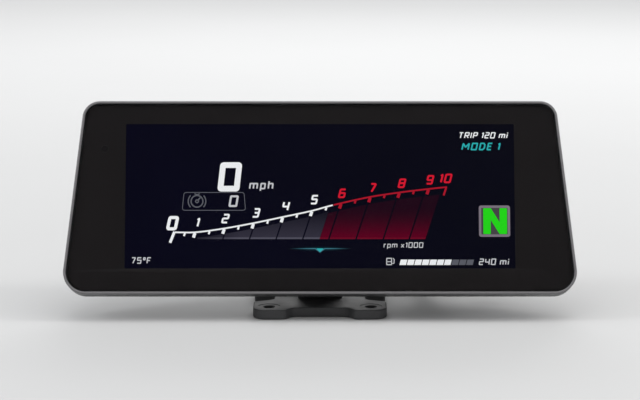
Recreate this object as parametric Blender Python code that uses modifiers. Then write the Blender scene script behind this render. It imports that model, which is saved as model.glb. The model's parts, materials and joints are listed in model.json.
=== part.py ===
"""Motorcycle instrument cluster: a 10.25 inch colour screen in a flared housing, on a
rubber-isolated bracket.

Everything behind the screen is modelled in the cluster's own axes and hung on one empty,
cluster_axis, which leans the whole unit back as it sits in front of the rider:
    X  across the screen, to the rider's right
    Y  from the rider into the housing; Y = 0 is the front of the cover glass
    Z  up the screen; Z = 0 is the middle of the picture
The bracket's foot stands level on the world's ground plane, with the world's origin in the
middle of its underside. All sizes are millimetres. A span is a (start, end) pair on one axis.
"""

import math

import bmesh
import bpy
from mathutils import Matrix, Vector

MM = 0.001  # one millimetre in Blender's metres

# ------------------------------------------------------------------ driving dimensions
TILT = 20.0  # lean of the screen back from upright, degrees
FACE_CENTRE = (0.0, -20.0, 76.0)  # cluster_axis, from the foot's centre

PICTURE_W, PICTURE_H = 243.6, 91.4  # 10.25 inch picture, 8:3
HALF_WIDTH = 154.7  # half the outline's width level with the picture's middle
FLARE = 0.1085  # how far each side runs outwards per unit downwards
TOP, BOTTOM = 60.2, -62.0
TOP_RADIUS, BOTTOM_RADIUS = 11.0, 14.0

RIM_W = 1.6  # width of the frame's rim round the glass
FRAME_FRONT, FRAME_BACK = -0.3, 14.0
FLANGE_FRONT = FRAME_BACK + 0.3  # rear housing's flange
FLANGE_BACK = FLANGE_FRONT + 3.0
CAVITY_BACK, BODY_BACK = 22.4, 25.0
BOARD_FRONT, BOARD_BACK = 12.0, 13.6

# Places are (x, z), keyed by the tag that ends each piece's name
SCREW_INSET = 3.9  # from the top and bottom edges
SCREWS = dict(enumerate(
    (side * x, z)
    for x, z in (
        (70.0, TOP - SCREW_INSET), (70.0, BOTTOM + SCREW_INSET), (147.7, 28.0), (154.2, -32.0)
    )
    for side in (-1, 1)
))
BOARD_SCREWS = dict(enumerate((x, z) for z in (36.0, -36.0) for x in (-98.0, 98.0)))
MOUNT_X, MOUNT_Z = 112.0, 30.0
MOUNTS = {"left": (-MOUNT_X, MOUNT_Z), "right": (MOUNT_X, MOUNT_Z), "lower": (0.0, -40.0)}

PROCESSOR_X, PROCESSOR_Z = -20.0, 6.0
VENT = (-112.0, -18.0)
PLUG_X, PLUG_Z = 72.0, -18.0  # middle of the main connector
HEADER_X, HEADER_Z = 22.0, 11.0  # half its width and height
COAX_X, COAX_Z = 122.0, -14.0
COAX_HALF_X, COAX_HALF_Z = 6.5, 8.0
STUD_Y, PIVOT_Y = 33.5, 40.0  # header studs and lever pivot


# ------------------------------------------------------------------ clear scene, collections
for old in list(bpy.data.objects):
    bpy.data.objects.remove(old, do_unlink=True)

parts = bpy.data.collections.new("instrument_cluster")
cutters = bpy.data.collections.new("cutters")
bpy.context.scene.collection.children.link(parts)
bpy.context.scene.collection.children.link(cutters)


# ------------------------------------------------------------------ axes
def empty(name, size, location, parent=None):
    obj = bpy.data.objects.new(name, None)
    obj.empty_display_size = size
    obj.parent = parent
    obj.location = [c * MM for c in location]
    parts.objects.link(obj)
    return obj


cluster_axis = empty("cluster_axis", 0.03, FACE_CENTRE)
cluster_axis.rotation_euler = (math.radians(-TILT), 0.0, 0.0)
plug_axis = empty("plug_axis", 0.01, (PLUG_X, PIVOT_Y, PLUG_Z), cluster_axis)
lever_axis = empty("lever_axis", 0.01, (0.0, 0.0, 0.0), plug_axis)


# ------------------------------------------------------------------ materials
def material(name, colour, roughness, metallic, alpha):
    mat = bpy.data.materials.new(name)
    mat.use_nodes = True
    inputs = mat.node_tree.nodes["Principled BSDF"].inputs
    inputs["Base Color"].default_value = (*colour, 1.0)
    inputs["Roughness"].default_value = roughness
    inputs["Metallic"].default_value = metallic
    inputs["Alpha"].default_value = alpha
    mat.diffuse_color = (*colour, alpha)
    return mat


# name, base colour, roughness, metallic, alpha
MATERIAL_TABLE = [
    ("cover_glass", (0.05, 0.05, 0.055), 0.05, 0.0, 0.25),
    ("mask_print", (0.012, 0.011, 0.012), 0.35, 0.0, 1.0),
    ("clear_bond", (0.8, 0.82, 0.85), 0.1, 0.0, 0.2),
    ("screen", (0.006, 0.006, 0.014), 0.15, 0.0, 1.0),
    ("film", (0.85, 0.86, 0.88), 0.4, 0.0, 1.0),
    ("acrylic", (0.8, 0.85, 0.88), 0.05, 0.0, 0.4),
    ("sheet_steel", (0.55, 0.56, 0.57), 0.35, 1.0, 1.0),
    ("frame_plastic", (0.045, 0.045, 0.047), 0.38, 0.0, 1.0),
    ("tape", (0.02, 0.02, 0.02), 0.8, 0.0, 1.0),
    ("silicone", (0.32, 0.05, 0.03), 0.6, 0.0, 1.0),
    ("housing_cast", (0.03, 0.03, 0.032), 0.55, 0.3, 1.0),
    ("circuit_board", (0.01, 0.09, 0.04), 0.45, 0.0, 1.0),
    ("chip", (0.02, 0.02, 0.02), 0.5, 0.0, 1.0),
    ("thermal_pad", (0.35, 0.38, 0.55), 0.8, 0.0, 1.0),
    ("flex", (0.45, 0.2, 0.03), 0.35, 0.0, 1.0),
    ("connector_plastic", (0.02, 0.02, 0.02), 0.5, 0.0, 1.0),
    ("contact", (0.75, 0.6, 0.3), 0.3, 1.0, 1.0),
    ("lever_plastic", (0.28, 0.28, 0.27), 0.5, 0.0, 1.0),
    ("lock_plastic", (0.55, 0.03, 0.02), 0.45, 0.0, 1.0),
    ("coax_plastic", (0.02, 0.09, 0.28), 0.45, 0.0, 1.0),
    ("cable", (0.015, 0.015, 0.015), 0.7, 0.0, 1.0),
    ("rubber", (0.018, 0.018, 0.018), 0.85, 0.0, 1.0),
    ("zinc_steel", (0.6, 0.6, 0.6), 0.3, 1.0, 1.0),
    ("bracket_cast", (0.028, 0.028, 0.03), 0.6, 0.2, 1.0),
]
MATERIALS = {row[0]: material(*row) for row in MATERIAL_TABLE}


# ------------------------------------------------------------------ spans and outlines
def about(middle, half):
    """The span reaching half either way from middle."""
    return middle - half, middle + half


def side_span(side, inner, outer):
    """The span from inner to outer on the side (-1 or 1) of zero."""
    return tuple(sorted((side * inner, side * outer)))


def rounded(corners, steps):
    """A closed outline with each corner (a, b, radius) turned into an arc."""
    outline = []
    for i, (*corner, radius) in enumerate(corners):
        if radius <= 0:
            outline.append(tuple(corner))
            continue
        corner = Vector(corner)
        to_last = (Vector(corners[i - 1][:2]) - corner).normalized()
        to_next = (Vector(corners[(i + 1) % len(corners)][:2]) - corner).normalized()
        half_angle = math.acos(max(-1.0, min(1.0, to_last.dot(to_next)))) / 2
        centre = corner + (to_last + to_next).normalized() * (radius / math.sin(half_angle))
        start = corner + to_last * (radius / math.tan(half_angle)) - centre
        end = corner + to_next * (radius / math.tan(half_angle)) - centre
        start_angle = math.atan2(start.y, start.x)
        turn = math.remainder(math.atan2(end.y, end.x) - start_angle, math.tau)
        for k in range(steps + 1):
            angle = start_angle + turn * k / steps
            outline.append(
                (centre.x + radius * math.cos(angle), centre.y + radius * math.sin(angle))
            )
    return outline


def cluster_outline(inset, steps=6):
    """The unit's flared outline, narrower at the top, moved inwards by inset."""
    side_inset = inset * math.hypot(1.0, FLARE)
    top, bottom = TOP - inset, BOTTOM + inset
    top_x = HALF_WIDTH - FLARE * top - side_inset
    bottom_x = HALF_WIDTH - FLARE * bottom - side_inset
    top_radius = max(TOP_RADIUS - inset, 2.0)
    bottom_radius = max(BOTTOM_RADIUS - inset, 3.0)
    corners = [
        (-top_x, top, top_radius),
        (top_x, top, top_radius),
        (bottom_x, bottom, bottom_radius),
        (-bottom_x, bottom, bottom_radius),
    ]
    return rounded(corners, steps)


def cluster_ring(outer_inset, inner_inset, steps=6):
    return [cluster_outline(outer_inset, steps), cluster_outline(inner_inset, steps)]


def box_outline(a_span, b_span, radius=0.0, steps=0):
    (a0, a1), (b0, b1) = a_span, b_span
    return rounded([(a, b, radius) for a, b in ((a0, b0), (a1, b0), (a1, b1), (a0, b1))], steps)


def circle(centre, radius, sides):
    angles = [2 * math.pi * k / sides for k in range(sides)]
    x, z = centre
    return [(x + radius * math.cos(angle), z + radius * math.sin(angle)) for angle in angles]


def ribbon(path, thickness):
    """Closed outline of a strip whose middle runs along path."""
    left, right = [], []
    for i, (x, y) in enumerate(path):
        before = Vector(path[max(i - 1, 0)])
        after = Vector(path[min(i + 1, len(path) - 1)])
        along = (after - before).normalized()
        offset = Vector((-along.y, along.x)) * thickness / 2
        left.append((x + offset.x, y + offset.y))
        right.append((x - offset.x, y - offset.y))
    return left + right[::-1]


# ------------------------------------------------------------------ shape makers
TURN = {
    # outline in X-Z, thickness along Y
    "y": Matrix(((1, 0, 0, 0), (0, 0, -1, 0), (0, 1, 0, 0), (0, 0, 0, 1))),
    # outline in Y-Z, thickness along X
    "x": Matrix(((0, 0, 1, 0), (1, 0, 0, 0), (0, 1, 0, 0), (0, 0, 0, 1))),
    # outline in X-Y, thickness along Z
    "z": Matrix.Identity(4),
}
POINTING = {
    "x": (0, math.pi / 2, 0),
    "y": (-math.pi / 2, 0, 0),
    "-y": (math.pi / 2, 0, 0),
    "z": (0, 0, 0),
}


def finish(obj, name, mat, parent, smooth=30.0):
    """Name and hang a piece; without a material it becomes a hidden boolean tool."""
    obj.name = name
    obj.data.name = name
    obj.parent = parent
    for collection in list(obj.users_collection):
        collection.objects.unlink(obj)
    if mat:
        obj.data.materials.append(MATERIALS[mat])
        parts.objects.link(obj)
        if smooth:
            obj.data.shade_smooth()
            obj.data.set_sharp_from_angle(angle=math.radians(smooth))
    else:
        cutters.objects.link(obj)
        obj.hide_render = True
        obj.display_type = "WIRE"
    return obj


def place(axis, along, across=(0.0, 0.0)):
    """A location in metres from one coordinate along axis and the other two in order."""
    coords = list(across)
    coords.insert("xyz".index(axis), along)
    return [c * MM for c in coords]


def round_edges(obj, width, segments, limit):
    bevel = obj.modifiers.new("edge_round", "BEVEL")
    bevel.width = width * MM
    bevel.segments = segments
    bevel.limit_method = limit
    return bevel


def add_line(curve, points):
    line = curve.splines.new("POLY")
    line.points.add(len(points) - 1)
    for point, (x, y, z) in zip(line.points, points):
        point.co = (x * MM, y * MM, z * MM, 1.0)
    return line


def sheet(name, loops, span, mat=None, axis="y", parent=cluster_axis, bevel=0.0, bevel_seg=1):
    """A flat outline, with holes, extruded over span along axis: a filled 2D curve made mesh."""
    start, end = span
    curve = bpy.data.curves.new(name, "CURVE")
    curve.dimensions = "2D"
    curve.fill_mode = "BOTH"
    curve.extrude = (end - start) / 2 * MM
    for loop in loops:
        add_line(curve, [(*point, 0.0) for point in loop]).use_cyclic_u = True
    source = bpy.data.objects.new(name + "_outline", curve)
    bpy.context.scene.collection.objects.link(source)
    graph = bpy.context.evaluated_depsgraph_get()
    mesh = bpy.data.meshes.new_from_object(source.evaluated_get(graph))
    bpy.data.objects.remove(source, do_unlink=True)

    edit = bmesh.new()
    edit.from_mesh(mesh)
    bmesh.ops.remove_doubles(edit, verts=edit.verts, dist=1e-6)
    bmesh.ops.transform(edit, matrix=TURN[axis], verts=edit.verts)
    bmesh.ops.dissolve_limit(edit, angle_limit=0.001, verts=edit.verts, edges=edit.edges)
    bmesh.ops.recalc_face_normals(edit, faces=edit.faces)
    edit.to_mesh(mesh)
    edit.free()

    obj = bpy.data.objects.new(name, mesh)
    bpy.context.scene.collection.objects.link(obj)
    obj.location = place(axis, (start + end) / 2)
    if bevel:
        round_edges(obj, bevel, bevel_seg, "ANGLE").angle_limit = math.radians(60)
    return finish(obj, name, mat, parent)


def block(name, x_span, y_span, z_span, mat=None, parent=cluster_axis, bevel=0.0, bevel_seg=1):
    spans = (x_span, y_span, z_span)
    bpy.ops.mesh.primitive_cube_add(size=1.0)
    obj = bpy.context.object
    obj.data.transform(Matrix.Diagonal((*((end - start) * MM for start, end in spans), 1.0)))
    obj.location = [(start + end) / 2 * MM for start, end in spans]
    if bevel:
        round_edges(obj, bevel, bevel_seg, "NONE")
    return finish(obj, name, mat, parent)


def rod(name, radius, at, span, mat=None, axis="y", parent=cluster_axis, sides=24):
    """A round bar over span along axis, through the point at in the other two axes."""
    start, end = span
    bpy.ops.mesh.primitive_cylinder_add(
        vertices=sides, radius=radius * MM, depth=(end - start) * MM
    )
    obj = bpy.context.object
    obj.location = place(axis, (start + end) / 2, at)
    obj.rotation_euler = POINTING[axis]
    return finish(obj, name, mat, parent)


def rods(name, radius, places, span, **options):
    """One rod at each place of a {tag: point} table, with the tag ending its name."""
    return [rod(f"{name}_{tag}", radius, at, span, **options) for tag, at in places.items()]


def turned(name, profile, at, mat, axis="y", sides=24, ring=False):
    """A turned piece at (x, z): its profile is (radius, height along axis) points."""
    mesh = bpy.data.meshes.new(name)
    edges = [(i, i + 1) for i in range(len(profile) - 1)]
    if ring:
        edges.append((len(profile) - 1, 0))
    mesh.from_pydata([(radius * MM, 0.0, height * MM) for radius, height in profile], edges, [])
    obj = bpy.data.objects.new(name, mesh)
    bpy.context.scene.collection.objects.link(obj)
    screw = obj.modifiers.new("turn", "SCREW")
    screw.angle = 2 * math.pi
    screw.steps = screw.render_steps = sides
    screw.use_merge_vertices = True
    screw.merge_threshold = 1e-5
    screw.use_smooth_shade = True
    obj.location = place("y", 0.0, at)
    obj.rotation_euler = POINTING[axis]
    return finish(obj, name, mat, cluster_axis, smooth=0)


def cable(name, radius, start, runs, parent, resolution):
    """A round cable through Bezier runs, each (pull, pull, end, steps)."""
    points = [start]
    for *pulls, steps in runs:
        controls = [points[-1], *pulls]
        for k in range(1, steps + 1):
            t = k / steps
            weights = ((1 - t) ** 3, 3 * (1 - t) ** 2 * t, 3 * (1 - t) * t * t, t**3)
            points.append(
                tuple(sum(w * c for w, c in zip(weights, coords)) for coords in zip(*controls))
            )
    curve = bpy.data.curves.new(name, "CURVE")
    curve.dimensions = "3D"
    curve.bevel_depth = radius * MM
    curve.bevel_resolution = resolution
    curve.use_fill_caps = True
    add_line(curve, points)
    curve.materials.append(MATERIALS["cable"])
    obj = bpy.data.objects.new(name, curve)
    obj.parent = parent
    parts.objects.link(obj)


def boolean(obj, tools, operation):
    for tool in tools:
        modifier = obj.modifiers.new(tool.name, "BOOLEAN")
        modifier.operation = operation
        modifier.object = tool
        modifier.solver = "EXACT"


def cut(obj, *tools):
    boolean(obj, tools, "DIFFERENCE")


def join(obj, *tools):
    boolean(obj, tools, "UNION")


def repeat(obj, name, count, step):
    array = obj.modifiers.new(name, "ARRAY")
    array.count = count
    array.use_relative_offset = False
    array.use_constant_offset = True
    array.constant_offset_displace = [c * MM for c in step]


# ------------------------------------------------------------------ glass, print, adhesive
sheet("cover_glass", [cluster_outline(RIM_W + 0.3, 8)], (0.0, 2.0), "cover_glass", bevel=0.35)
picture = box_outline(about(0, PICTURE_W / 2), about(0, PICTURE_H / 2))
sheet("bezel_mask", [cluster_outline(RIM_W + 0.8), picture], (2.05, 2.30), "mask_print")
sheet("glass_adhesive", cluster_ring(RIM_W + 0.9, 6.2), (2.36, 2.92), "tape")

# ------------------------------------------------------------------ bond, panel and backlight
# Layers from front to back: name, half width, Y span, Z span, material
LAYERS = [
    ("optical_bond", 125.0, (2.40, 3.08), (-48.5, 49.0), "clear_bond"),
    ("lcd_panel", 125.5, (3.14, 4.74), (-51.2, 49.5), "screen"),
    ("optical_films", 124.8, (4.90, 5.40), (-48.6, 48.8), "film"),
    ("light_guide", 124.6, (5.48, 7.90), (-46.4, 48.6), "acrylic"),
    ("reflector_sheet", 124.8, (7.98, 8.18), (-48.6, 48.8), "film"),
]
for name, half_width, y_span, z_span, mat in LAYERS:
    block(name, about(0, half_width), y_span, z_span, mat)

# LED bar under the light guide
LED_COUNT, LED_PITCH = 16, 15.6
led_bar = block("led_bar", about(0, 122.0), (5.50, 7.88), (-48.9, -47.9), "circuit_board")
led = block("led_row", (-120.0, -115.5), (5.9, 7.5), (-48.2, -46.7))
repeat(led, "row", LED_COUNT, (LED_PITCH, 0, 0))
join(led_bar, led)

# Tray, open to the front
TRAY_X, TRAY_Z, TRAY_BACK, TRAY_WALL = 126.0, 50.0, 9.20, 0.8
tray = block(
    "backlight_tray", about(0, TRAY_X), (4.86, TRAY_BACK), about(0, TRAY_Z), "sheet_steel"
)
cut(tray, block(
    "tray_hollow",
    about(0, TRAY_X - TRAY_WALL),
    (3.0, TRAY_BACK - TRAY_WALL),
    about(0, TRAY_Z - TRAY_WALL),
))

# Panel's flex: back under the tray, then bent up to its connector; path points are (y, z)
BEND_Y, BEND_Z, BEND_RADIUS = 9.2, -49.05, 1.7
flex_path = [(4.90, BEND_Z - BEND_RADIUS), (BEND_Y, BEND_Z - BEND_RADIUS)]
for degrees in range(15, 91, 15):
    angle = math.radians(degrees)
    flex_path.append(
        (BEND_Y + BEND_RADIUS * math.sin(angle), BEND_Z - BEND_RADIUS * math.cos(angle))
    )
flex_path.append((BEND_Y + BEND_RADIUS, -41.3))
sheet("lcd_flex", [ribbon(flex_path, 0.25)], about(0, 30.0), "flex", axis="x")
block("fpc_connector", about(0, 33.0), (10.0, 11.92), (-41.1, -36.5), "connector_plastic")

# ------------------------------------------------------------------ front frame
SHELF_FRONT, SHELF_BACK = 3.0, 5.4
MODULE_X, MODULE_Z = 128.0, (-52.8, 51.3)  # opening for the panel
SENSOR_X, SENSOR_Z = -135.0, 30.0

frame = sheet(
    "front_frame",
    cluster_ring(0.0, RIM_W, 8),
    (FRAME_FRONT, FRAME_BACK),
    "frame_plastic",
    bevel=0.55,
    bevel_seg=2,
)
opening = box_outline(about(0, MODULE_X), MODULE_Z, 2.0, 3)
join(
    frame,
    sheet("frame_shelf", [cluster_outline(0.8), opening], (SHELF_FRONT, SHELF_BACK)),
    sheet("frame_wall", cluster_ring(6.4, 8.7), (SHELF_BACK - 0.9, FRAME_BACK)),
    *rods("frame_boss", 3.1, SCREWS, (SHELF_BACK - 0.7, FRAME_BACK - 0.01), sides=16),
)
cut(
    frame,
    *rods("frame_pilot", 1.45, SCREWS, (5.9, FRAME_BACK + 1.0), sides=12),
    rod("sensor_window", 2.5, (SENSOR_X, SENSOR_Z), (2.0, 6.5), sides=16),
)

# Light sensor's board and chip, behind the window
sensor = block(
    "light_sensor", about(SENSOR_X, 5.5), (5.6, 6.8), about(SENSOR_Z, 5.0), "circuit_board"
)
join(sensor, block("sensor_chip", about(SENSOR_X, 1.4), (4.4, 5.9), about(SENSOR_Z, 1.4)))

# ------------------------------------------------------------------ seal and rear housing
BOSS_RADIUS, BOSS_BACK = 8.0, 37.5
FIN_X, FIN_T, FIN_PITCH, FIN_COUNT = -86.0, 2.4, 8.6, 14
FIN_BACK, FIN_Z = 34.0, (-27.0, 41.0)
PORT_Y = (20.0, 27.0)  # cuts through the back wall
HEADER_GAP, COAX_GAP = 0.6, 0.4  # clearance round each connector

sheet("housing_seal", cluster_ring(6.85, 8.35), (14.08, 15.5), "silicone")

rear = sheet(
    "rear_housing",
    [cluster_outline(0.5, 8)],
    (FLANGE_FRONT, FLANGE_BACK),
    "housing_cast",
    bevel=0.5,
)
join(rear, sheet(
    "rear_body", [cluster_outline(9.5)], (FLANGE_FRONT + 1.0, BODY_BACK), bevel=1.8, bevel_seg=3
))
cut(
    rear,
    sheet("rear_hollow", [cluster_outline(12.0)], (FLANGE_FRONT - 2.0, CAVITY_BACK)),
    sheet("seal_groove", cluster_ring(6.6, 8.6), (FLANGE_FRONT - 1.0, 15.7)),
)

fin = block("cooling_fins", (FIN_X, FIN_X + FIN_T), (BODY_BACK - 0.8, FIN_BACK), FIN_Z)
repeat(fin, "row", FIN_COUNT, (FIN_PITCH, 0, 0))
cooling_seat = block(
    "cooling_seat", about(PROCESSOR_X, 20.0), (19.2, CAVITY_BACK + 0.6), about(PROCESSOR_Z, 18.0)
)
join(
    rear,
    fin,
    cooling_seat,
    *rods("mount_boss", BOSS_RADIUS, MOUNTS, (BODY_BACK - 0.7, BOSS_BACK), sides=32),
)
cut(rear, *rods("mount_thread", 2.75, MOUNTS, (26.5, BOSS_BACK + 2), sides=20))
post_span = (BOARD_BACK + 0.15, CAVITY_BACK + 0.5)
join(rear, *rods("board_post", 3.4, BOARD_SCREWS, post_span, sides=16))
cut(
    rear,
    *rods("board_pilot", 1.5, BOARD_SCREWS, (BOARD_BACK - 1, 20.9), sides=12),
    *rods("flange_hole", 1.8, SCREWS, (FLANGE_FRONT - 1, FLANGE_BACK + 1), sides=16),
    block(
        "header_port",
        about(PLUG_X, HEADER_X + HEADER_GAP),
        PORT_Y,
        about(PLUG_Z, HEADER_Z + HEADER_GAP),
    ),
    block(
        "coax_port",
        about(COAX_X, COAX_HALF_X + COAX_GAP),
        PORT_Y,
        about(COAX_Z, COAX_HALF_Z + COAX_GAP),
    ),
    rod("vent_port", 5.0, VENT, PORT_Y),
)

# Profiles are (radius, y)
HOUSING_SCREW = [
    (0, 19.9), (1.7, 19.9), (2.5, 19.4), (2.6, 17.42),
    (1.25, 17.38), (1.25, 7.6), (0.3, 6.6), (0, 6.6),
]
for i, at in SCREWS.items():
    turned(f"housing_screw_{i + 1}", HOUSING_SCREW, at, "zinc_steel", sides=16)

VENT_PROFILE = [
    (0, 28.6), (5.0, 28.6), (6.3, 27.6), (6.5, 25.2),
    (4.7, 25.15), (4.7, 21.2), (3.6, 20.6), (0, 20.6),
]
turned("pressure_vent", VENT_PROFILE, VENT, "connector_plastic")

# ------------------------------------------------------------------ electronics
PART_FRONT = BOARD_BACK + 0.1  # parts stand just off the board's back
CAN_HALF, CAN_BACK, CAN_WALL = 17.0, 17.2, 0.5

board_outline = box_outline(about(0, 106.0), about(0, 42.5), 3.0, 3)
board_holes = [circle(at, 1.8, 14) for at in BOARD_SCREWS.values()]
sheet("main_pcb", [board_outline] + board_holes, (BOARD_FRONT, BOARD_BACK), "circuit_board")

BOARD_SCREW = [  # (radius, -y)
    (0, -10.1), (2.0, -10.1), (2.8, -10.7), (2.8, -11.9),
    (1.3, -11.92), (1.3, -19.6), (0.4, -20.4), (0, -20.4),
]
for i, at in BOARD_SCREWS.items():
    turned(f"pcb_screw_{i + 1}", BOARD_SCREW, at, "zinc_steel", axis="-y", sides=14)

# Processor, its shield can, and the pad between can and cooling seat
block(
    "processor",
    about(PROCESSOR_X, 11.5),
    (PART_FRONT, 15.3),
    about(PROCESSOR_Z, 11.5),
    "chip",
    bevel=0.3,
)
can = block(
    "shield_can",
    about(PROCESSOR_X, CAN_HALF),
    (PART_FRONT, CAN_BACK),
    about(PROCESSOR_Z, CAN_HALF),
    "sheet_steel",
    bevel=0.5,
)
cut(can, block(
    "can_hollow",
    about(PROCESSOR_X, CAN_HALF - CAN_WALL),
    (12.0, CAN_BACK - CAN_WALL),
    about(PROCESSOR_Z, CAN_HALF - CAN_WALL),
))
block(
    "thermal_pad",
    about(PROCESSOR_X, 14.0),
    (17.35, 19.05),
    about(PROCESSOR_Z, 14.0),
    "thermal_pad",
)

block("memory_chip", (14.0, 28.0), (PART_FRONT, 14.9), (0.5, 12.0), "chip", bevel=0.2)
block(
    "power_inductor",
    (40.0, 53.0),
    (PART_FRONT, 19.8),
    (16.0, 29.0),
    "chip",
    bevel=1.0,
    bevel_seg=2,
)
CAPACITOR = [
    (0, 21.6), (3.8, 21.6), (4.1, 21.2), (4.1, 15.4),
    (3.8, 15.1), (4.1, 14.8), (4.1, PART_FRONT), (0, PART_FRONT),
]
for i, z in enumerate((19.0, 31.0)):
    turned(f"capacitor_{i + 1}", CAPACITOR, (82.0, z), "sheet_steel")

# ------------------------------------------------------------------ main connector's header
HEADER_WALL = 2.0
STUD_RADIUS = 1.8
FIRST_PIN_X, FIRST_PIN_Z = -15.5, -3.5  # from the connector's middle
PIN_COUNT, PIN_PITCH = 8, 4.42
PIN_ROWS, PIN_ROW_PITCH = 2, 7.0


def header_outline(margin, radius, steps):
    """The header's outline, grown by margin on every side."""
    return box_outline(
        about(PLUG_X, HEADER_X + margin), about(PLUG_Z, HEADER_Z + margin), radius, steps
    )


def pin_grid(obj):
    repeat(obj, "along", PIN_COUNT, (PIN_PITCH, 0, 0))
    repeat(obj, "across", PIN_ROWS, (0, 0, PIN_ROW_PITCH))


header = sheet("main_header", [header_outline(0.0, 2.0, 3)], (21.0, 40.0), "connector_plastic")
join(
    header,
    block(
        "header_flange",
        about(PLUG_X, HEADER_X + 3.6),
        (19.6, 21.4),
        about(PLUG_Z, HEADER_Z + 3.6),
    ),
    block("header_base", about(PLUG_X, HEADER_X - 2), (13.75, 20.4), about(PLUG_Z, HEADER_Z - 3)),
    rod("header_studs", STUD_RADIUS, (STUD_Y, PLUG_Z), about(PLUG_X, 27.3), axis="x"),
)
cut(header, sheet("header_hollow", [header_outline(-HEADER_WALL, 1.0, 2)], (26.8, 45.0)))
sheet(
    "header_seal",
    [header_outline(3.4, 2.0, 3), header_outline(0.3, 2.0, 3)],
    (21.46, 22.34),
    "silicone",
)

pins = block(
    "pin_insert",
    about(PLUG_X, HEADER_X - 2.3),
    (26.9, 28.1),
    about(PLUG_Z, HEADER_Z - 2.3),
    "contact",
)
pin = block(
    "pin_rows", about(PLUG_X + FIRST_PIN_X, 0.4), (27.5, 36.5), about(PLUG_Z + FIRST_PIN_Z, 0.4)
)
pin_grid(pin)
join(pins, pin)

# ------------------------------------------------------------------ harness plug and lock
# The plug, lever, lock, plug seal and sleeve are measured from the lever's pivot, which is the
# origin of plug_axis and lever_axis.
PIVOT_RADIUS = 2.2
STUD_REACH = PIVOT_Y - STUD_Y  # from the pivot forwards to the stud
SKIRT_X, SKIRT_Z = 24.5, 13.5  # half sizes of the plug's skirt
SKIRT_GAP = 0.45  # between skirt and header
CORE_X, CORE_Z = 18.6, 7.6
STUD_WAY_FRONT, STUD_WAY_HALF = -15.0, 2.15


def plug_outline(half_x, half_z, radius, steps):
    return box_outline(about(0, half_x), about(0, half_z), radius, steps)


plug = sheet(
    "harness_plug",
    [plug_outline(SKIRT_X, SKIRT_Z, 2.5, 4)],
    (-11.5, 5.0),
    "connector_plastic",
    parent=plug_axis,
)
skirt_hollow = plug_outline(HEADER_X + SKIRT_GAP, HEADER_Z + SKIRT_GAP, 2.0, 3)
cut(plug, sheet("skirt_hollow", [skirt_hollow], (-20.0, 3.0), parent=plug_axis))
back, core = plug_outline(SKIRT_X, 11.0, 2.0, 3), plug_outline(CORE_X, CORE_Z, 1.5, 2)
join(
    plug,
    sheet("plug_back", [back], (2.0, 16.0), parent=plug_axis),
    sheet("plug_core", [core], (-10.5, 3.0), parent=plug_axis),
    rod("plug_neck", 6.2, (0, 9.5), (-16.5, -10.0), axis="z", parent=plug_axis),
)
for tag, side in (("near", 1), ("far", -1)):
    pin_span = side_span(side, 23.2, 28.3)
    join(plug, rod(
        f"lever_pin_{tag}", PIVOT_RADIUS, (0, 0), pin_span, axis="x", parent=plug_axis
    ))

# Ways for the header's studs: open to the front, round at the back; points are (y, z)
stud_way = [(STUD_WAY_FRONT, -STUD_WAY_HALF), (-STUD_REACH, -STUD_WAY_HALF)]
for degrees in range(20, 180, 20):
    angle = math.radians(degrees)
    stud_way.append(
        (-STUD_REACH + STUD_WAY_HALF * math.sin(angle), -STUD_WAY_HALF * math.cos(angle))
    )
stud_way += [(-STUD_REACH, STUD_WAY_HALF), (STUD_WAY_FRONT, STUD_WAY_HALF)]
for side in (-1, 1):
    way_span = side_span(side, 20.5, 26.5)
    cut(plug, sheet(f"stud_way_{side}", [stud_way], way_span, axis="x", parent=plug_axis))

sockets = block(
    "pin_ways", about(FIRST_PIN_X, 1.1), (-13.0, -1.0), about(FIRST_PIN_Z, 1.1), parent=plug_axis
)
pin_grid(sockets)
lock_way = block("lock_way", about(0, 4.3), (4.0, 20.0), (9.2, 12.0), parent=plug_axis)
cut(plug, sockets, lock_way)

# Seal round the plug's core
sheet(
    "plug_seal",
    [
        plug_outline(CORE_X + 1.2, CORE_Z + 1.2, 1.2, 3),
        plug_outline(CORE_X + 0.15, CORE_Z + 0.15, 1.5, 3),
    ],
    (-6.0, -1.4),
    "silicone",
    parent=plug_axis,
)

lock = block(
    "lever_lock", about(0, 4.0), (7.2, 14.5), (9.4, 11.2), "lock_plastic", parent=plug_axis
)
join(lock, block(
    "lock_pad", about(0, 5.5), (8.5, 14.0), (11.15, 13.6), parent=plug_axis, bevel=0.4
))

SLEEVE_RUNS = [
    ((0, 9.5, -24.0), (0, 12.5, -27.0), (-2.0, 24.0, -26.0), 9),
    ((-3.6, 33.0, -25.2), (-6.0, 42.0, -20.5), (-8.0, 50.0, -17.0), 6),
]
cable("harness_sleeve", 4.6, (0, 9.5, -16.8), SLEEVE_RUNS, plug_axis, resolution=3)

# ------------------------------------------------------------------ lever
# Cam slot: the stud stays put while the lever turns by an angle and the plug backs off by
# CAM_RISE * angle, so in the lever's own axes the stud's middle runs along a spiral from in
# front of the pivot up to the slot's mouth.
CAM_RISE = 6.5  # plug travel per radian of lever
SWING = math.radians(70.0)
SLOT_HALF = 2.2
CHEEK_INNER, CHEEK_OUTER = 24.95, 27.75


def spiral(angle, extra=0.0):
    """Point (y, z) of the stud's path, extra further from the pivot."""
    reach = STUD_REACH + CAM_RISE * angle + extra
    return (-reach * math.cos(angle), reach * math.sin(angle))


swing_angles = [SWING * k / 10 for k in range(11)]
cam_slot = ribbon([spiral(angle) for angle in swing_angles], 2 * SLOT_HALF)
# The stud's straight way out
cam_mouth = ribbon([spiral(SWING), spiral(SWING, 8.0)], 2 * SLOT_HALF)
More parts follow.
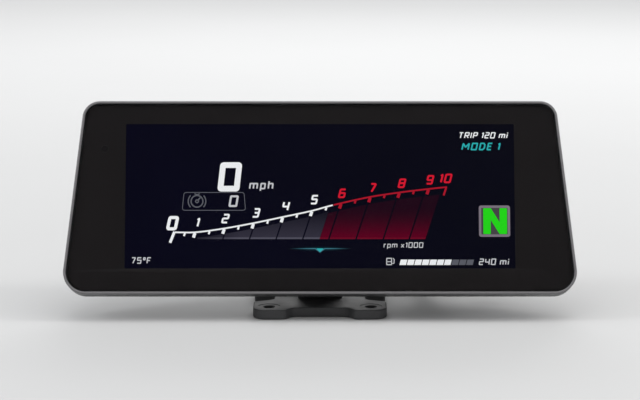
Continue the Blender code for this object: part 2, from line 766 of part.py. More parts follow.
# Cheek's edge: round the slot, then (y, z) points back under the pivot
cheek = [spiral(angle, 4.3) for angle in swing_angles]
cheek += [
    (-2.0, 18.6), (5.2, 16.6), (9.5, 11.0), (14.0, 5.4), (26.2, 5.4), (26.2, -4.6),
    (10.5, -5.6), (5.0, -7.6), (-2.0, -8.2), (-7.4, -6.4), (-10.2, -3.2),
]

on_lever = {"axis": "x", "parent": lever_axis}
through = about(0, 29.0)  # past both cheeks
lever = sheet(
    "plug_lever", [cheek], side_span(1, CHEEK_INNER, CHEEK_OUTER), "lever_plastic", **on_lever
)
lever_bar = block(
    "lever_bar",
    about(0, 27.4),
    (21.6, 26.0),
    (-4.4, 9.0),
    parent=lever_axis,
    bevel=0.8,
    bevel_seg=2,
)
join(
    lever,
    lever_bar,
    sheet("lever_far_cheek", [cheek], side_span(-1, CHEEK_INNER, CHEEK_OUTER), **on_lever),
)
cut(
    lever,
    sheet("cam_way", [cam_slot], through, **on_lever),
    sheet("cam_way_out", [cam_mouth], through, **on_lever),
    rod("cam_end", SLOT_HALF, (-STUD_REACH, 0.0), through, **on_lever),
    rod("cam_turn", SLOT_HALF + 0.05, spiral(SWING), through, **on_lever),
    rod("lever_bore", PIVOT_RADIUS + 0.16, (0, 0), through, **on_lever),
)

# ------------------------------------------------------------------ coax connector
COAX = (COAX_X, COAX_Z)
coax_outline = box_outline(about(COAX_X, COAX_HALF_X), about(COAX_Z, COAX_HALF_Z), 1.5, 3)
coax = sheet("coax_socket", [coax_outline], (19.6, 36.0), "coax_plastic")
cut(coax, rod("coax_hollow", 4.9, COAX, (24.0, 38.0)))
join(coax, rod("coax_pin", 0.7, COAX, (23.0, 32.0), sides=10))

coax_plug = rod("coax_plug", 4.6, COAX, (27.0, 37.5), "coax_plastic")
join(
    coax_plug,
    block("coax_grip", about(COAX_X, 6.0), (36.4, 47.0), about(COAX_Z, 7.0), bevel=0.8),
    rod("coax_boot", 3.0, COAX, (46.5, 54.0), sides=16),
)
cut(coax_plug, rod("coax_bore", 1.2, COAX, (26.0, 34.0), sides=12))

COAX_RUNS = [
    (
        (COAX_X, 64.0, COAX_Z - 1.0),
        (COAX_X - 1.0, 67.0, COAX_Z - 10.0),
        (COAX_X - 6.0, 66.0, COAX_Z - 20.0),
        9,
    ),
    (
        (COAX_X - 9.0, 65.5, COAX_Z - 26.0),
        (COAX_X - 15.0, 65.0, COAX_Z - 32.0),
        (COAX_X - 22.0, 65.0, COAX_Z - 36.0),
        5,
    ),
]
cable("coax_cable", 1.6, (COAX_X, 54.3, COAX_Z), COAX_RUNS, cluster_axis, resolution=2)

# ------------------------------------------------------------------ isolated mounting
# Profiles are (radius, y)
GROMMET = [
    (4.7, 49.8), (9.2, 49.8), (10.0, 49.0), (10.0, 46.85), (6.75, 46.8),
    (6.75, 41.2), (10.0, 41.15), (10.0, 39.0), (9.2, 38.2), (4.7, 38.2),
]
SLEEVE = [(2.95, 50.2), (4.5, 50.2), (4.5, 37.8), (2.95, 37.8)]
BOLT = [
    (0, 55.6), (3.3, 55.6), (4.2, 55.0), (4.2, 52.2), (7.2, 51.6),
    (7.6, 50.4), (2.5, 50.35), (2.5, 29.0), (1.5, 28.0), (0, 28.0),
]
for tag, at in MOUNTS.items():
    turned(f"grommet_{tag}", GROMMET, at, "rubber", ring=True)
    turned(f"spacer_sleeve_{tag}", SLEEVE, at, "zinc_steel", sides=20, ring=True)
    turned(f"mount_bolt_{tag}", BOLT, at, "zinc_steel", sides=20)

# ------------------------------------------------------------------ bracket
# The upper half lies parallel to the screen; the foot is level, on the world's axes.
EYE_FRONT, EYE_BACK, EYE_HOLE = 41.5, 46.5, 7.0
RIB_SPAN = (EYE_BACK - 0.6, 52.0)
COLUMN_X, BEAM_HALF = 14.0, 9.0  # half widths of the column and cross beam
FOOT_JOIN = -60.6  # column's lower end, inside the foot's thickness
FOOT_X, FOOT_Y, FOOT_T = 42.0, 35.0, 6.0  # reach and thickness of the four-lugged foot
FOOT_HOLES = dict(enumerate((x, y) for y in (-25.0, 25.0) for x in (-32.0, 32.0)))

tee = [  # (x, z, radius)
    (-COLUMN_X, FOOT_JOIN, 0),
    (COLUMN_X, FOOT_JOIN, 0),
    (COLUMN_X, 18, 7),
    (MOUNT_X, MOUNT_Z - BEAM_HALF, 4),
    (MOUNT_X, MOUNT_Z + BEAM_HALF, 4),
    (-MOUNT_X, MOUNT_Z + BEAM_HALF, 4),
    (-MOUNT_X, MOUNT_Z - BEAM_HALF, 4),
    (-COLUMN_X, 18, 7),
]
bracket = sheet("mounting_bracket", [rounded(tee, 4)], (EYE_FRONT, EYE_BACK), "bracket_cast")
upper_mounts = {tag: MOUNTS[tag] for tag in ("left", "right")}
join(bracket, *rods("eye", 13.0, upper_mounts, (EYE_FRONT + 0.01, EYE_BACK - 0.01), sides=32))

# Ribs on the back of the column and beam
for side in (-1, 1):
    rib_x = side_span(side, 11.0, 13.9)
    join(bracket, block(f"column_rib_{side}", rib_x, RIB_SPAN, (FOOT_JOIN, 34.0)))
top_rib_z = (MOUNT_Z + 5.6, MOUNT_Z + 8.6)
low_rib_z = (MOUNT_Z - 6.6, MOUNT_Z - 3.6)
join(
    bracket,
    block("beam_rib_top", about(0, 97.0), RIB_SPAN, top_rib_z),
    block("beam_rib_low_left", (-97.0, -10.9), RIB_SPAN, low_rib_z),
    block("beam_rib_low_right", (10.9, 97.0), RIB_SPAN, low_rib_z),
)

# Foot: one quarter's (x, y, radius) corners, mirrored
quarter = [
    (29.0, 6.0, 5.0),
    (FOOT_X, 11.0, 3.0),
    (FOOT_X, FOOT_Y, 8.0),
    (22.0, FOOT_Y, 4.0),
    (17.0, FOOT_Y - 7.0, 6.0),
]
back_half = quarter + [(-x, y, radius) for x, y, radius in quarter[::-1]]
foot = back_half + [(-x, -y, radius) for x, y, radius in back_half]
join(bracket, sheet("bracket_foot", [rounded(foot, 3)], (0.0, FOOT_T), axis="z", parent=None))

GUSSET = [(-4.0, 3.0), (27.0, 3.0), (27.0, 8.0), (12.0, 34.0), (6.0, 34.0)]  # (y, z)
for side in (-1, 1):
    gusset_x = side_span(side, 10.5, 14.0)
    join(bracket, sheet(f"gusset_{side}", [GUSSET], gusset_x, axis="x", parent=None))

cut(
    bracket,
    *rods("eye_hole", EYE_HOLE, MOUNTS, (EYE_FRONT - 3, EYE_BACK + 3), sides=28),
    *rods("foot_hole", 3.3, FOOT_HOLES, (-3, FOOT_T + 3), axis="z", parent=None),
)
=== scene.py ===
# A motorcycle instrument cluster: glass with its lit picture, front frame, die-cast housing, harness
# plug with cam lever, aerial plug, rubber mounts and bracket.
# Pieces are built in the cluster's own axes, in millimetres: X across the screen to the rider's
# right, Y into the housing from the glass's front, Z up the screen. The bracket's foot alone is
# built in the world's axes. The frame's joints say where the cluster's axes lie.
import json
import math
import random

import bmesh
import bpy
from mathutils import Matrix, Vector


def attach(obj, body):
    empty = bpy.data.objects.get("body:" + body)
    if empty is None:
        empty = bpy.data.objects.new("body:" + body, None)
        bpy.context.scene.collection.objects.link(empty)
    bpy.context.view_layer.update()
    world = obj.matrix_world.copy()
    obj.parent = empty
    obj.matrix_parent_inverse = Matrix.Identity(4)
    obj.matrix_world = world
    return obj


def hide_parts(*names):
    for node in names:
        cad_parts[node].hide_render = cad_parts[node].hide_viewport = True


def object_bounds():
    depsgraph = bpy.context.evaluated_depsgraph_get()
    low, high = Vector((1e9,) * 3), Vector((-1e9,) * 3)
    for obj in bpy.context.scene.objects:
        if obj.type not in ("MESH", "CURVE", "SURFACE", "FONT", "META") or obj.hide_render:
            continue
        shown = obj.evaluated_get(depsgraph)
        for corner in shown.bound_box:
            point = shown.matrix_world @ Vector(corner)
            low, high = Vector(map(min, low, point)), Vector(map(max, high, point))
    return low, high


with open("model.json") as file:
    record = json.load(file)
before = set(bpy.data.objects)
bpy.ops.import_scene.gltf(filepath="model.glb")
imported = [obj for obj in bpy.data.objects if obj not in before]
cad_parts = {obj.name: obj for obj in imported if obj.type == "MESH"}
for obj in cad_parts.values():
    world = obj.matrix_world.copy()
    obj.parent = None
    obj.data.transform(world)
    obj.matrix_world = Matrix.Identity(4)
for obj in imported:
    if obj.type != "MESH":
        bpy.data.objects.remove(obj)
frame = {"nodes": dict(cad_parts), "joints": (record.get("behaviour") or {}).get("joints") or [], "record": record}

CAD_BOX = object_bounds()
MM = 0.001
random.seed(11)
scene = bpy.context.scene

# ---------------------------------------------------------------- the cluster's axes
PIVOT_Y = 40  # the cam lever's pivot, behind the glass's front
PLUG_Z = -18  # the same pivot, from the picture's middle
joints = {joint["name"]: joint for joint in frame["joints"]}
LEVER_PIVOT = Vector(joints["lever_swing"]["pos_m"])
DEPTH = Vector(joints["plug_travel"]["axis"]).normalized()
RIGHT = Vector((1, 0, 0))
TURN = Matrix((RIGHT, DEPTH, RIGHT.cross(DEPTH))).transposed()


def node_box(node):
    """Lowest and highest corner of a CAD node in axes turned with the cluster, in metres."""
    points = [TURN.transposed() @ vertex.co for vertex in frame["nodes"][node].data.vertices]
    return [Vector([end(p[i] for p in points) for i in range(3)]) for end in (min, max)]


glass_low, glass_high = node_box("cover_glass")
ORIGIN = Vector((
    (glass_low.x + glass_high.x) / 2,
    glass_low.y,
    (TURN.transposed() @ LEVER_PIVOT).z - PLUG_Z * MM,
))
CLUSTER = TURN.to_4x4() @ Matrix.Translation(ORIGIN)
WORLD_TO_CLUSTER = CLUSTER.inverted()
PLUG_X = round((WORLD_TO_CLUSTER @ LEVER_PIVOT / MM).x, 3)
# Plug, lever and lock count Y from the pivot and X, Z from the connector's middle.
PLUG_SPACE = CLUSTER @ Matrix.Translation(Vector((PLUG_X, PIVOT_Y, PLUG_Z)) * MM)

# ---------------------------------------------------------------- main sizes
HALF_WIDTH = 154.7  # at the picture's middle height
FLARE = 0.1085  # how much wider each side gets per millimetre down
TOP, BOTTOM = 60.2, -62
TOP_RADIUS, BOTTOM_RADIUS = 11, 14
PICTURE_X, PICTURE_Z = 121.8, 45.7  # half sizes of the clear window
SENSOR = (-135, 30)
SCREWS = [
    (-70, 56.3), (70, 56.3), (-70, -58.1), (70, -58.1),
    (-147.7, 28), (147.7, 28), (-154.2, -32), (154.2, -32),
]
MOUNTS = {"left": (-112, 30), "right": (112, 30), "lower": (0, -40)}
POSTS = [(-98, 36), (98, 36), (-98, -36), (98, -36)]  # inside the housing
AERIAL = AERIAL_X, AERIAL_Z = (122, -14)
VENT = (-112, -18)
BACK = 25  # the housing's flat back
HEADER_X, HEADER_Z = 22, 11  # half sizes of the main header
STUD_Y = 33.5  # the header's cam studs
WAYS = [(-15.5 + 4.42 * i, -3.5 + 7 * j) for i in range(8) for j in range(2)]


# ---------------------------------------------------------------- spans and outlines
def around(middle, half):
    return (middle - half, middle + half)


def sided(side, inner, outer, middle=0):
    """The span from inner to outer on one side (-1 or 1) of middle."""
    return tuple(sorted((middle + side * inner, middle + side * outer)))


def rounded(corners, seg=10):
    """A closed outline from (a, b, radius) corners, each turned into an arc of seg steps."""
    outline = []
    for i, (a, b, radius) in enumerate(corners):
        if radius <= 0:
            outline.append((a, b))
            continue
        corner = Vector((a, b))
        before = (Vector(corners[i - 1][:2]) - corner).normalized()
        after = (Vector(corners[(i + 1) % len(corners)][:2]) - corner).normalized()
        half = math.acos(max(-1, min(1, before.dot(after)))) / 2
        centre = corner + (before + after).normalized() * (radius / math.sin(half))
        start = corner + before * (radius / math.tan(half)) - centre
        end = corner + after * (radius / math.tan(half)) - centre
        first = math.atan2(start.y, start.x)
        turn = math.atan2(end.y, end.x) - first
        turn -= math.tau * round(turn / math.tau)  # the short way round
        for k in range(seg + 1):
            angle = first + turn * k / seg
            outline.append((
                centre.x + radius * math.cos(angle),
                centre.y + radius * math.sin(angle),
            ))
    return outline


def cluster_outline(inset, seg=24):
    """The unit's outline, moved in by inset."""
    side = inset * math.hypot(1, FLARE)
    top, bottom = TOP - inset, BOTTOM + inset
    top_x = HALF_WIDTH - FLARE * top - side
    bottom_x = HALF_WIDTH - FLARE * bottom - side
    top_r, bottom_r = max(TOP_RADIUS - inset, 2), max(BOTTOM_RADIUS - inset, 3)
    return rounded([
        (-top_x, top, top_r), (top_x, top, top_r),
        (bottom_x, bottom, bottom_r), (-bottom_x, bottom, bottom_r),
    ], seg)


def box_outline(a_span, b_span, radius=0, seg=6):
    (a0, a1), (b0, b1) = a_span, b_span
    corners = [(a0, b0, radius), (a1, b0, radius), (a1, b1, radius), (a0, b1, radius)]
    return rounded(corners, seg)


def square(at, half, radius):
    return box_outline(around(at[0], half), around(at[1], half), radius, 2)


def circle(at, radius, n):
    angles = [2 * math.pi * k / n for k in range(n)]
    return [(at[0] + radius * math.cos(t), at[1] + radius * math.sin(t)) for t in angles]


def arc(centre, radius, first, last, n):
    """Points on a circle from first to last degrees; 0 points along a, 90 along b."""
    angles = [math.radians(first + (last - first) * k / n) for k in range(n + 1)]
    return [(centre[0] + radius * math.cos(t), centre[1] + radius * math.sin(t)) for t in angles]


def spaced(loop, least=0.02):
    """The outline without points that lie on one another."""
    kept = []
    for p in loop:
        if not kept or math.hypot(p[0] - kept[-1][0], p[1] - kept[-1][1]) > least:
            kept.append(p)
    if math.hypot(kept[0][0] - kept[-1][0], kept[0][1] - kept[-1][1]) <= least:
        kept.pop()
    return kept


# ---------------------------------------------------------------- shape makers
# Arguments are in millimetres; meshes are in metres, with the object at the origin.
def put(data):
    o = bpy.data.objects.new(data.name, data)
    scene.collection.objects.link(o)
    return o


def to_object(solid, name="solid"):
    """A bmesh as an object, with its normals outwards."""
    bmesh.ops.recalc_face_normals(solid, faces=solid.faces)
    if solid.calc_volume(signed=True) < 0:
        bmesh.ops.reverse_faces(solid, faces=solid.faces)
    mesh = bpy.data.meshes.new(name)
    solid.to_mesh(mesh)
    solid.free()
    return put(mesh)


def evaluated_mesh(o):
    bpy.context.view_layer.update()
    graph = bpy.context.evaluated_depsgraph_get()
    return bpy.data.meshes.new_from_object(o.evaluated_get(graph), depsgraph=graph)


def round_edges(o, width, seg, angle):
    bevel = o.modifiers.new("edge_round", "BEVEL")
    bevel.width = width * MM
    bevel.segments = seg
    bevel.limit_method = "ANGLE"
    bevel.angle_limit = math.radians(angle)
    bevel.use_clamp_overlap = False
    bevel.loop_slide = False
    mesh = evaluated_mesh(o)
    o.modifiers.clear()
    o.data = mesh
    return o


# From outline axes a, b and thickness t to x, y, z.
PLACE = {
    "x": lambda a, b, t: (t, a, b),
    "y": lambda a, b, t: (a, t, b),
    "z": lambda a, b, t: (a, b, t),
}


def skin(rows, ring=False, name="skin"):
    """Faces between rows of points. One-point rows close to a tip; other ends are capped."""
    solid = bmesh.new()
    rows = [[solid.verts.new(Vector(point) * MM) for point in row] for row in rows]
    following = rows[1:] + rows[:1] if ring else rows[1:]
    for row, after in zip(rows, following):
        n = max(len(row), len(after))
        for k in range(n):
            m = (k + 1) % n
            ends = len(row), len(after)
            corners = (row[k % ends[0]], row[m % ends[0]], after[m % ends[1]], after[k % ends[1]])
            solid.faces.new(tuple(dict.fromkeys(corners)))
    if not ring and len(rows[0]) > 1:
        solid.faces.new(rows[0][::-1])
        solid.faces.new(rows[-1])
    return to_object(solid, name)


def loft(levels, axis="y", ring=False, name="loft"):
    """Outlines of equal length stacked along axis: levels are (outline, t)."""
    return skin([[PLACE[axis](a, b, t) for a, b in loop] for loop, t in levels], ring, name)


def turned(profile, at, axis="y", n=48, ring=False):
    """A turned piece round at, from (radius, place along axis) points."""
    rows = []
    for radius, t in profile:
        loop = [at] if radius < 1e-6 else circle(at, radius, n)
        rows.append([PLACE[axis](a, b, t) for a, b in loop])
    return skin(rows, ring)


def rod(radius, at, span, n, axis="y"):
    low, high = span
    return turned([(0, low), (radius, low), (radius, high), (0, high)], at, axis, n)


def groove(radii, span, at, n):
    """A square-sectioned ring."""
    (inner, outer), (low, high) = radii, span
    profile = [(inner, low), (outer, low), (outer, high), (inner, high)]
    return turned(profile, at, n=n, ring=True)


def pierced(loops, span, axis):
    """A flat outline with holes, filled by a 2D curve."""
    curve = bpy.data.curves.new("sheet", "CURVE")
    curve.dimensions = "2D"
    curve.fill_mode = "BOTH"
    curve.extrude = (span[1] - span[0]) / 2 * MM
    for loop in loops:
        spline = curve.splines.new("POLY")
        spline.points.add(len(loop) - 1)
        for point, (a, b) in zip(spline.points, loop):
            point.co = (a * MM, b * MM, 0, 1)
        spline.use_cyclic_u = True
    source = put(curve)
    graph = bpy.context.evaluated_depsgraph_get()
    mesh = bpy.data.meshes.new_from_object(source.evaluated_get(graph))
    bpy.data.objects.remove(source, do_unlink=True)
    solid = bmesh.new()
    solid.from_mesh(mesh)
    bpy.data.meshes.remove(mesh)
    bmesh.ops.remove_doubles(solid, verts=solid.verts, dist=1e-6)
    mid = (span[0] + span[1]) / 2
    for v in solid.verts:
        v.co = Vector(PLACE[axis](v.co.x / MM, v.co.y / MM, v.co.z / MM + mid)) * MM
    bmesh.ops.dissolve_limit(solid, angle_limit=0.001, verts=solid.verts, edges=solid.edges)
    return to_object(solid)


def sheet(loops, span, axis="y", bevel=0, seg=3, angle=55):
    """A flat outline, with any further loops as holes, over span along axis."""
    if len(loops) == 1:
        o = loft([(spaced(loops[0]), t) for t in span], axis)
    else:
        o = pierced(loops, span, axis)
    return round_edges(o, bevel, seg, angle) if bevel else o


def block(x_span, y_span, z_span, bevel=0, seg=3):
    spans = (x_span, y_span, z_span)
    solid = bmesh.new()
    bmesh.ops.create_cube(solid, size=1)
    for v in solid.verts:
        v.co = Vector([(a + b) / 2 + v.co[i] * (b - a) for i, (a, b) in enumerate(spans)]) * MM
    o = to_object(solid)
    return round_edges(o, bevel, seg, 30) if bevel else o


def measured(mesh):
    """Volume in cubic millimetres, and how many edges aren't shared by exactly two faces."""
    solid = bmesh.new()
    solid.from_mesh(mesh)
    volume = solid.calc_volume(signed=True) / MM**3
    loose = sum(1 for e in solid.edges if not e.is_manifold)
    solid.free()
    return volume, loose


def boolean(o, tools, operation):
    """Apply each tool. A result that isn't closed or has an impossible volume is tried again
    with the other solver and a small nudge; a tool that never works is left out."""
    for tool in tools:
        before, extra = measured(o.data)[0], measured(tool.data)[0]
        if operation == "UNION":
            low, high = max(before, extra), before + extra
        else:
            low, high = before - extra, before
        slack = 0.02 + 1e-5 * abs(before)
        for attempt in range(8):
            nudge = 0.0015 * (attempt // 2)
            tool.location = Vector((nudge, nudge * 0.7, nudge * 0.4)) * MM
            modifier = o.modifiers.new("bool", "BOOLEAN")
            modifier.operation = operation
            modifier.object = tool
            modifier.solver = ("MANIFOLD", "EXACT")[attempt % 2]
            mesh = evaluated_mesh(o)
            o.modifiers.clear()
            volume, loose = measured(mesh)
            if loose == 0 and low - slack <= volume <= high + slack:
                o.data = mesh
                break
            bpy.data.meshes.remove(mesh)
        bpy.data.objects.remove(tool, do_unlink=True)
    return o


def cut(o, *tools):
    return boolean(o, tools, "DIFFERENCE")


def join(o, *tools):
    return boolean(o, tools, "UNION")


def gather(parts):
    """Several closed shells as one piece."""
    solid = bmesh.new()
    for part in parts:
        solid.from_mesh(part.data)
        bpy.data.objects.remove(part, do_unlink=True)
    mesh = bpy.data.meshes.new("gathered")
    solid.to_mesh(mesh)
    solid.free()
    return put(mesh)


def moved(o, matrix):
    o.data.transform(matrix)
    return o


def posed(o, at, angle):
    """Turn o about Y, then carry it to at = (x, z)."""
    place = Matrix.Translation(Vector((at[0], 0, at[1])) * MM)
    return moved(o, place @ Matrix.Rotation(angle, 4, "Y"))


def tube(points, radius, n):
    """A round tube along points. radius is a number or a function of (angle, length along)."""
    points = [Vector(p) for p in points]
    last = len(points) - 1
    side = (points[1] - points[0]).normalized().orthogonal().normalized()
    along = 0
    rows = []
    for i, p in enumerate(points):
        if i:
            along += (p - points[i - 1]).length
        ahead = (points[min(i + 1, last)] - points[max(i - 1, 0)]).normalized()
        side = (side - ahead * side.dot(ahead)).normalized()
        up = ahead.cross(side)
        row = []
        for k in range(n):
            angle = 2 * math.pi * k / n
            r = radius(angle, along) if callable(radius) else radius
            row.append(p + side * (r * math.cos(angle)) + up * (r * math.sin(angle)))
        rows.append(row)
    return skin(rows)


def resample(points, step):
    """Points every step along a polyline, smoothed with a Catmull-Rom spline."""
    points = [Vector(p) for p in points]
    last = len(points) - 1
    dense = []
    for i in range(last):
        p0, p1, p2, p3 = points[max(i - 1, 0)], points[i], points[i + 1], points[min(i + 2, last)]
        for k in range(24):
            t = k / 24
            bend = (2 * p0 - 5 * p1 + 4 * p2 - p3) * t * t
            dense.append(0.5 * (2 * p1 + (p2 - p0) * t + bend + (3 * p1 - p0 - 3 * p2 + p3) * t**3))
    dense.append(points[-1])
    even, left = [dense[0]], step
    for here, there in zip(dense, dense[1:]):
        gap = (there - here).length
        while gap >= left and gap > 0:
            here = here + (there - here) * (left / gap)
            even.append(here.copy())
            gap = (there - here).length
            left = step
        left -= gap
    return even


def bezier(p0, p1, p2, p3, n):
    points = []
    for k in range(n + 1):
        t = k / n
        points.append(tuple(
            (1 - t) ** 3 * a + 3 * (1 - t) ** 2 * t * b + 3 * (1 - t) * t * t * c + t**3 * d
            for a, b, c, d in zip(p0, p1, p2, p3)
        ))
    return points


MATERIALS = {}
replaced = set()  # CAD nodes that a piece stands in for


def piece(o, name, look, body="cluster", replaces=None, space=None, smooth=32,
          weighted=True):
    """Finish a piece: moved into the frame, shaded, given its material, riding on its body."""
    if space is None:
        space = CLUSTER if body == "cluster" else PLUG_SPACE
    o.name = name
    o.data.name = name
    o.data.transform(space)
    o.data.materials.clear()
    o.data.materials.append(MATERIALS[look])
    o.data.shade_smooth()
    o.data.set_sharp_from_angle(angle=math.radians(smooth))
    if weighted:
        normals = o.modifiers.new("normals", "WEIGHTED_NORMAL")
        normals.keep_sharp = True
        normals.weight = 60
    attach(o, body)
    if replaces:
        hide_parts(replaces)
        replaced.add(replaces)


# ---------------------------------------------------------------- shader builders
def lifted(colour, gain, lift=0):
    return tuple(min(1, c * gain + lift) for c in colour)


class Graph:
    """A node tree with short ways to add nodes."""

    def __init__(self, tree):
        self.tree = tree

    def feed(self, socket, value):
        """Link or set an input; None leaves it alone."""
        if isinstance(value, bpy.types.NodeSocket):
            self.tree.links.new(value, socket)
        elif value is not None:
            if isinstance(value, tuple) and len(value) == 3 and socket.type == "RGBA":
                value = (*value, 1)
            socket.default_value = value

    def node(self, kind, output, inputs=None, **settings):
        """A new node's output socket."""
        node = self.tree.nodes.new("ShaderNode" + kind)
        for key, value in settings.items():
            setattr(node, key, value)
        for key, value in (inputs or {}).items():
            self.feed(node.inputs[key], value)
        return node.outputs[output]

    def ramp(self, value, span=(0.3, 0.7), to=(0, 1), smooth=False):
        """value mapped from span to another range, held at its ends."""
        return self.node("MapRange", "Result", {
            "Value": value, "From Min": span[0], "From Max": span[1],
            "To Min": to[0], "To Max": to[1],
        }, interpolation_type="SMOOTHSTEP" if smooth else "LINEAR")

    def calc(self, operation, a, b=None):
        return self.node("Math", 0, {0: a, 1: b}, operation=operation)

    def times(self, a, b):
        return self.calc("MULTIPLY", a, b)

    def noise(self, scale, detail=2, rough=0.5, place=None, distort=0):
        return self.node("TexNoise", "Fac", {
            "Scale": scale, "Detail": detail, "Roughness": rough, "Distortion": distort,
            "Vector": place or self.place,
        })


class Look(Graph):
    """One procedural material; its textures follow the cluster's own axes, in metres."""

    INPUTS = {
        "colour": "Base Color", "rough": "Roughness", "metal": "Metallic", "normal": "Normal",
        "coat": "Coat Weight", "coat_rough": "Coat Roughness", "spec": "Specular IOR Level",
        "glow": "Emission Color", "power": "Emission Strength", "sheen": "Sheen Weight",
        "alpha": "Alpha",
    }

    def __init__(self, name):
        material = bpy.data.materials.new(name)
        material.use_nodes = True
        super().__init__(material.node_tree)
        self.surface = self.tree.nodes["Principled BSDF"]
        self.place = self.node("Mapping", "Vector", {
            "Vector": self.node("TexCoord", "Object"),
            "Location": WORLD_TO_CLUSTER.to_translation(),
            "Rotation": WORLD_TO_CLUSTER.to_euler(),
        })
        MATERIALS[name] = material

    def stretch(self, x=1, y=1, z=1):
        return self.node("Mapping", "Vector", {"Scale": (x, y, z), "Vector": self.place})

    def voronoi(self, scale, feature="F1", randomness=1):
        inputs = {"Scale": scale, "Randomness": randomness, "Vector": self.place}
        return self.node("TexVoronoi", "Distance", inputs, feature=feature)

    def bands(self, scale, direction, distort=0, place=None):
        inputs = {"Scale": scale, "Distortion": distort, "Vector": place or self.place}
        return self.node("TexWave", "Fac", inputs, wave_type="BANDS",
                         bands_direction=direction, wave_profile="TRI")

    def axis(self, which):
        return self.node("SeparateXYZ", which, {"Vector": self.place})

    def mix(self, factor, a, b):
        return self.node("Mix", 2, {"Factor": factor, 6: a, 7: b}, data_type="RGBA")

    def edges(self, span=(0.52, 0.62)):
        return self.ramp(self.node("NewGeometry", "Pointiness"), span)

    def bump(self, height, depth_mm, strength=1, under=None):
        return self.node("Bump", "Normal", {
            "Strength": strength, "Distance": depth_mm * MM, "Height": height, "Normal": under,
        })

    def smear(self):
        """Faint handling smears, as on glass."""
        return self.noise(16, detail=4, rough=0.6, place=self.stretch(z=1.6), distort=0.8)

    def glossy(self):
        return self.ramp(self.smear(), to=(0.05, 0.10))

    def dots(self):
        """The panel's own dots: a slight dimming between rows and columns."""
        columns = self.bands(0.5 / (DOT_PITCH * MM), "X")
        rows = self.bands(0.5 / (DOT_PITCH * MM), "Z")
        return self.ramp(self.times(columns, rows), span=(0, 1), to=(0.93, 1))

    def set(self, **values):
        for key, value in values.items():
            self.feed(self.surface.inputs[self.INPUTS[key]], value)


DOT_PITCH = 0.127


def plastic(name, dark, light, rough, grain_mm, depth_mm, speck, wear):
    """Moulded plastic: spark-eroded grain, faint flow marks, lighter scuffed edges."""
    look = Look(name)
    flow = look.noise(38, detail=3, rough=0.6, place=look.stretch(z=2.6), distort=0.6)
    base = look.mix(look.ramp(flow), dark, light)
    if speck:
        specks = look.ramp(look.noise(2600, detail=1), span=(0.68, 0.74), to=(0, speck))
        base = look.mix(specks, base, lifted(light, gain=2.2, lift=0.02))
    base = look.mix(look.times(look.edges(), wear), base, lifted(light, gain=1.9, lift=0.03))
    grain = look.noise(1 / (grain_mm * MM), rough=0.55)
    marks = look.noise(90, detail=4, rough=0.6)
    gloss = look.ramp(marks, to=(rough - 0.06, rough + 0.07))
    look.set(colour=base, rough=look.calc("ADD", gloss, look.ramp(grain, to=(-0.03, 0.03))),
             spec=0.5, normal=look.bump(grain, depth_mm))
    return look


def satin_rim(look):
    """Painted highlight: the foremost land of the frame's rim is coloured a lighter grey, as if catching the
    light, and made glossier than the rest.
    """
    base = look.surface.inputs["Base Color"].links[0].from_socket
    rough = look.surface.inputs["Roughness"].links[0].from_socket
    # Painted highlight band along the rim's crest: a lighter grey with faint streaks stands in for the light the
    # rounded edge catches.
    highlight_band = look.ramp(look.axis("Y"), span=(0.00022, 0.00002), smooth=True)
    streak = look.ramp(look.noise(160, detail=3, rough=0.6), to=(0.88, 1.06))
    tint = look.mix(streak, (0.110, 0.107, 0.111), (0.150, 0.145, 0.151))
    look.set(colour=look.mix(highlight_band, base, tint),
             rough=look.calc("ADD", rough, look.times(highlight_band, -0.06)))


def powder(name, dark, light, rough, rubbed, wear):
    """Powder-coated die casting: orange peel over a fine grit, rubbed edges."""
    look = Look(name)
    peel = look.noise(620, rough=0.45)
    grit = look.voronoi(1900, "SMOOTH_F1")
    tone = look.noise(26, detail=4, rough=0.6)
    base = look.mix(look.ramp(tone, span=(0.32, 0.68)), dark, light)
    pits = look.ramp(grit, span=(0.15, 0.6), to=(0.16, 0))
    base = look.mix(pits, base, lifted(light, gain=2))
    patches = (look.edges((0.53, 0.66)), look.ramp(
        look.noise(210, detail=4, rough=0.65), span=(0.44, 0.66), to=(0.05 * wear, wear)))
    base = look.mix(look.times(*patches), base, rubbed)
    normal = look.bump(peel, 0.045, strength=0.8)
    normal = look.bump(grit, 0.022, strength=0.8, under=normal)
    gloss = look.ramp(look.noise(70, detail=3), to=(rough - 0.07, rough + 0.08))
    look.set(colour=base, rough=gloss, metal=0, spec=0.55, normal=normal)


def metal(name, tone, tint, rough, brushed, scale, depth_mm):
    """Bare or plated metal: a fine lay (along X if brushed), blotches, handling marks."""
    look = Look(name)
    blotch = look.noise(240, detail=3, rough=0.6)
    base = look.mix(look.ramp(blotch, span=(0.35, 0.7)), tone, tint)
    if brushed:
        fine = look.noise(scale, rough=0.6, place=look.stretch(x=0.02))
    else:
        fine = look.noise(scale, detail=3, rough=0.6)
    marks = look.noise(500, rough=0.7, place=look.stretch(x=0.08), distort=1.2)
    scratch = look.ramp(marks, span=(0.62, 0.7))
    gloss = look.ramp(fine, to=(rough - 0.07, rough + 0.09))
    look.set(colour=base, metal=1, rough=look.calc("ADD", gloss, look.times(scratch, 0.08)),
             normal=look.bump(fine, depth_mm, strength=0.7))


def soft(name, dark, light, rough, bloom, depth_mm, scale):
    """Rubber or foam: matt skin, pores, a dusty bloom."""
    look = Look(name)
    pores = look.noise(scale, detail=3, rough=0.6)
    dust = look.ramp(look.noise(85, detail=5, rough=0.65), span=(0.46, 0.72))
    base = look.mix(look.ramp(look.noise(30)), dark, light)
    base = look.mix(look.times(dust, 0.5), base, bloom)
    look.set(colour=base, rough=look.ramp(pores, to=(rough - 0.06, min(1, rough + 0.08))),
             spec=0.35, sheen=0.12, normal=look.bump(pores, depth_mm, strength=0.9))


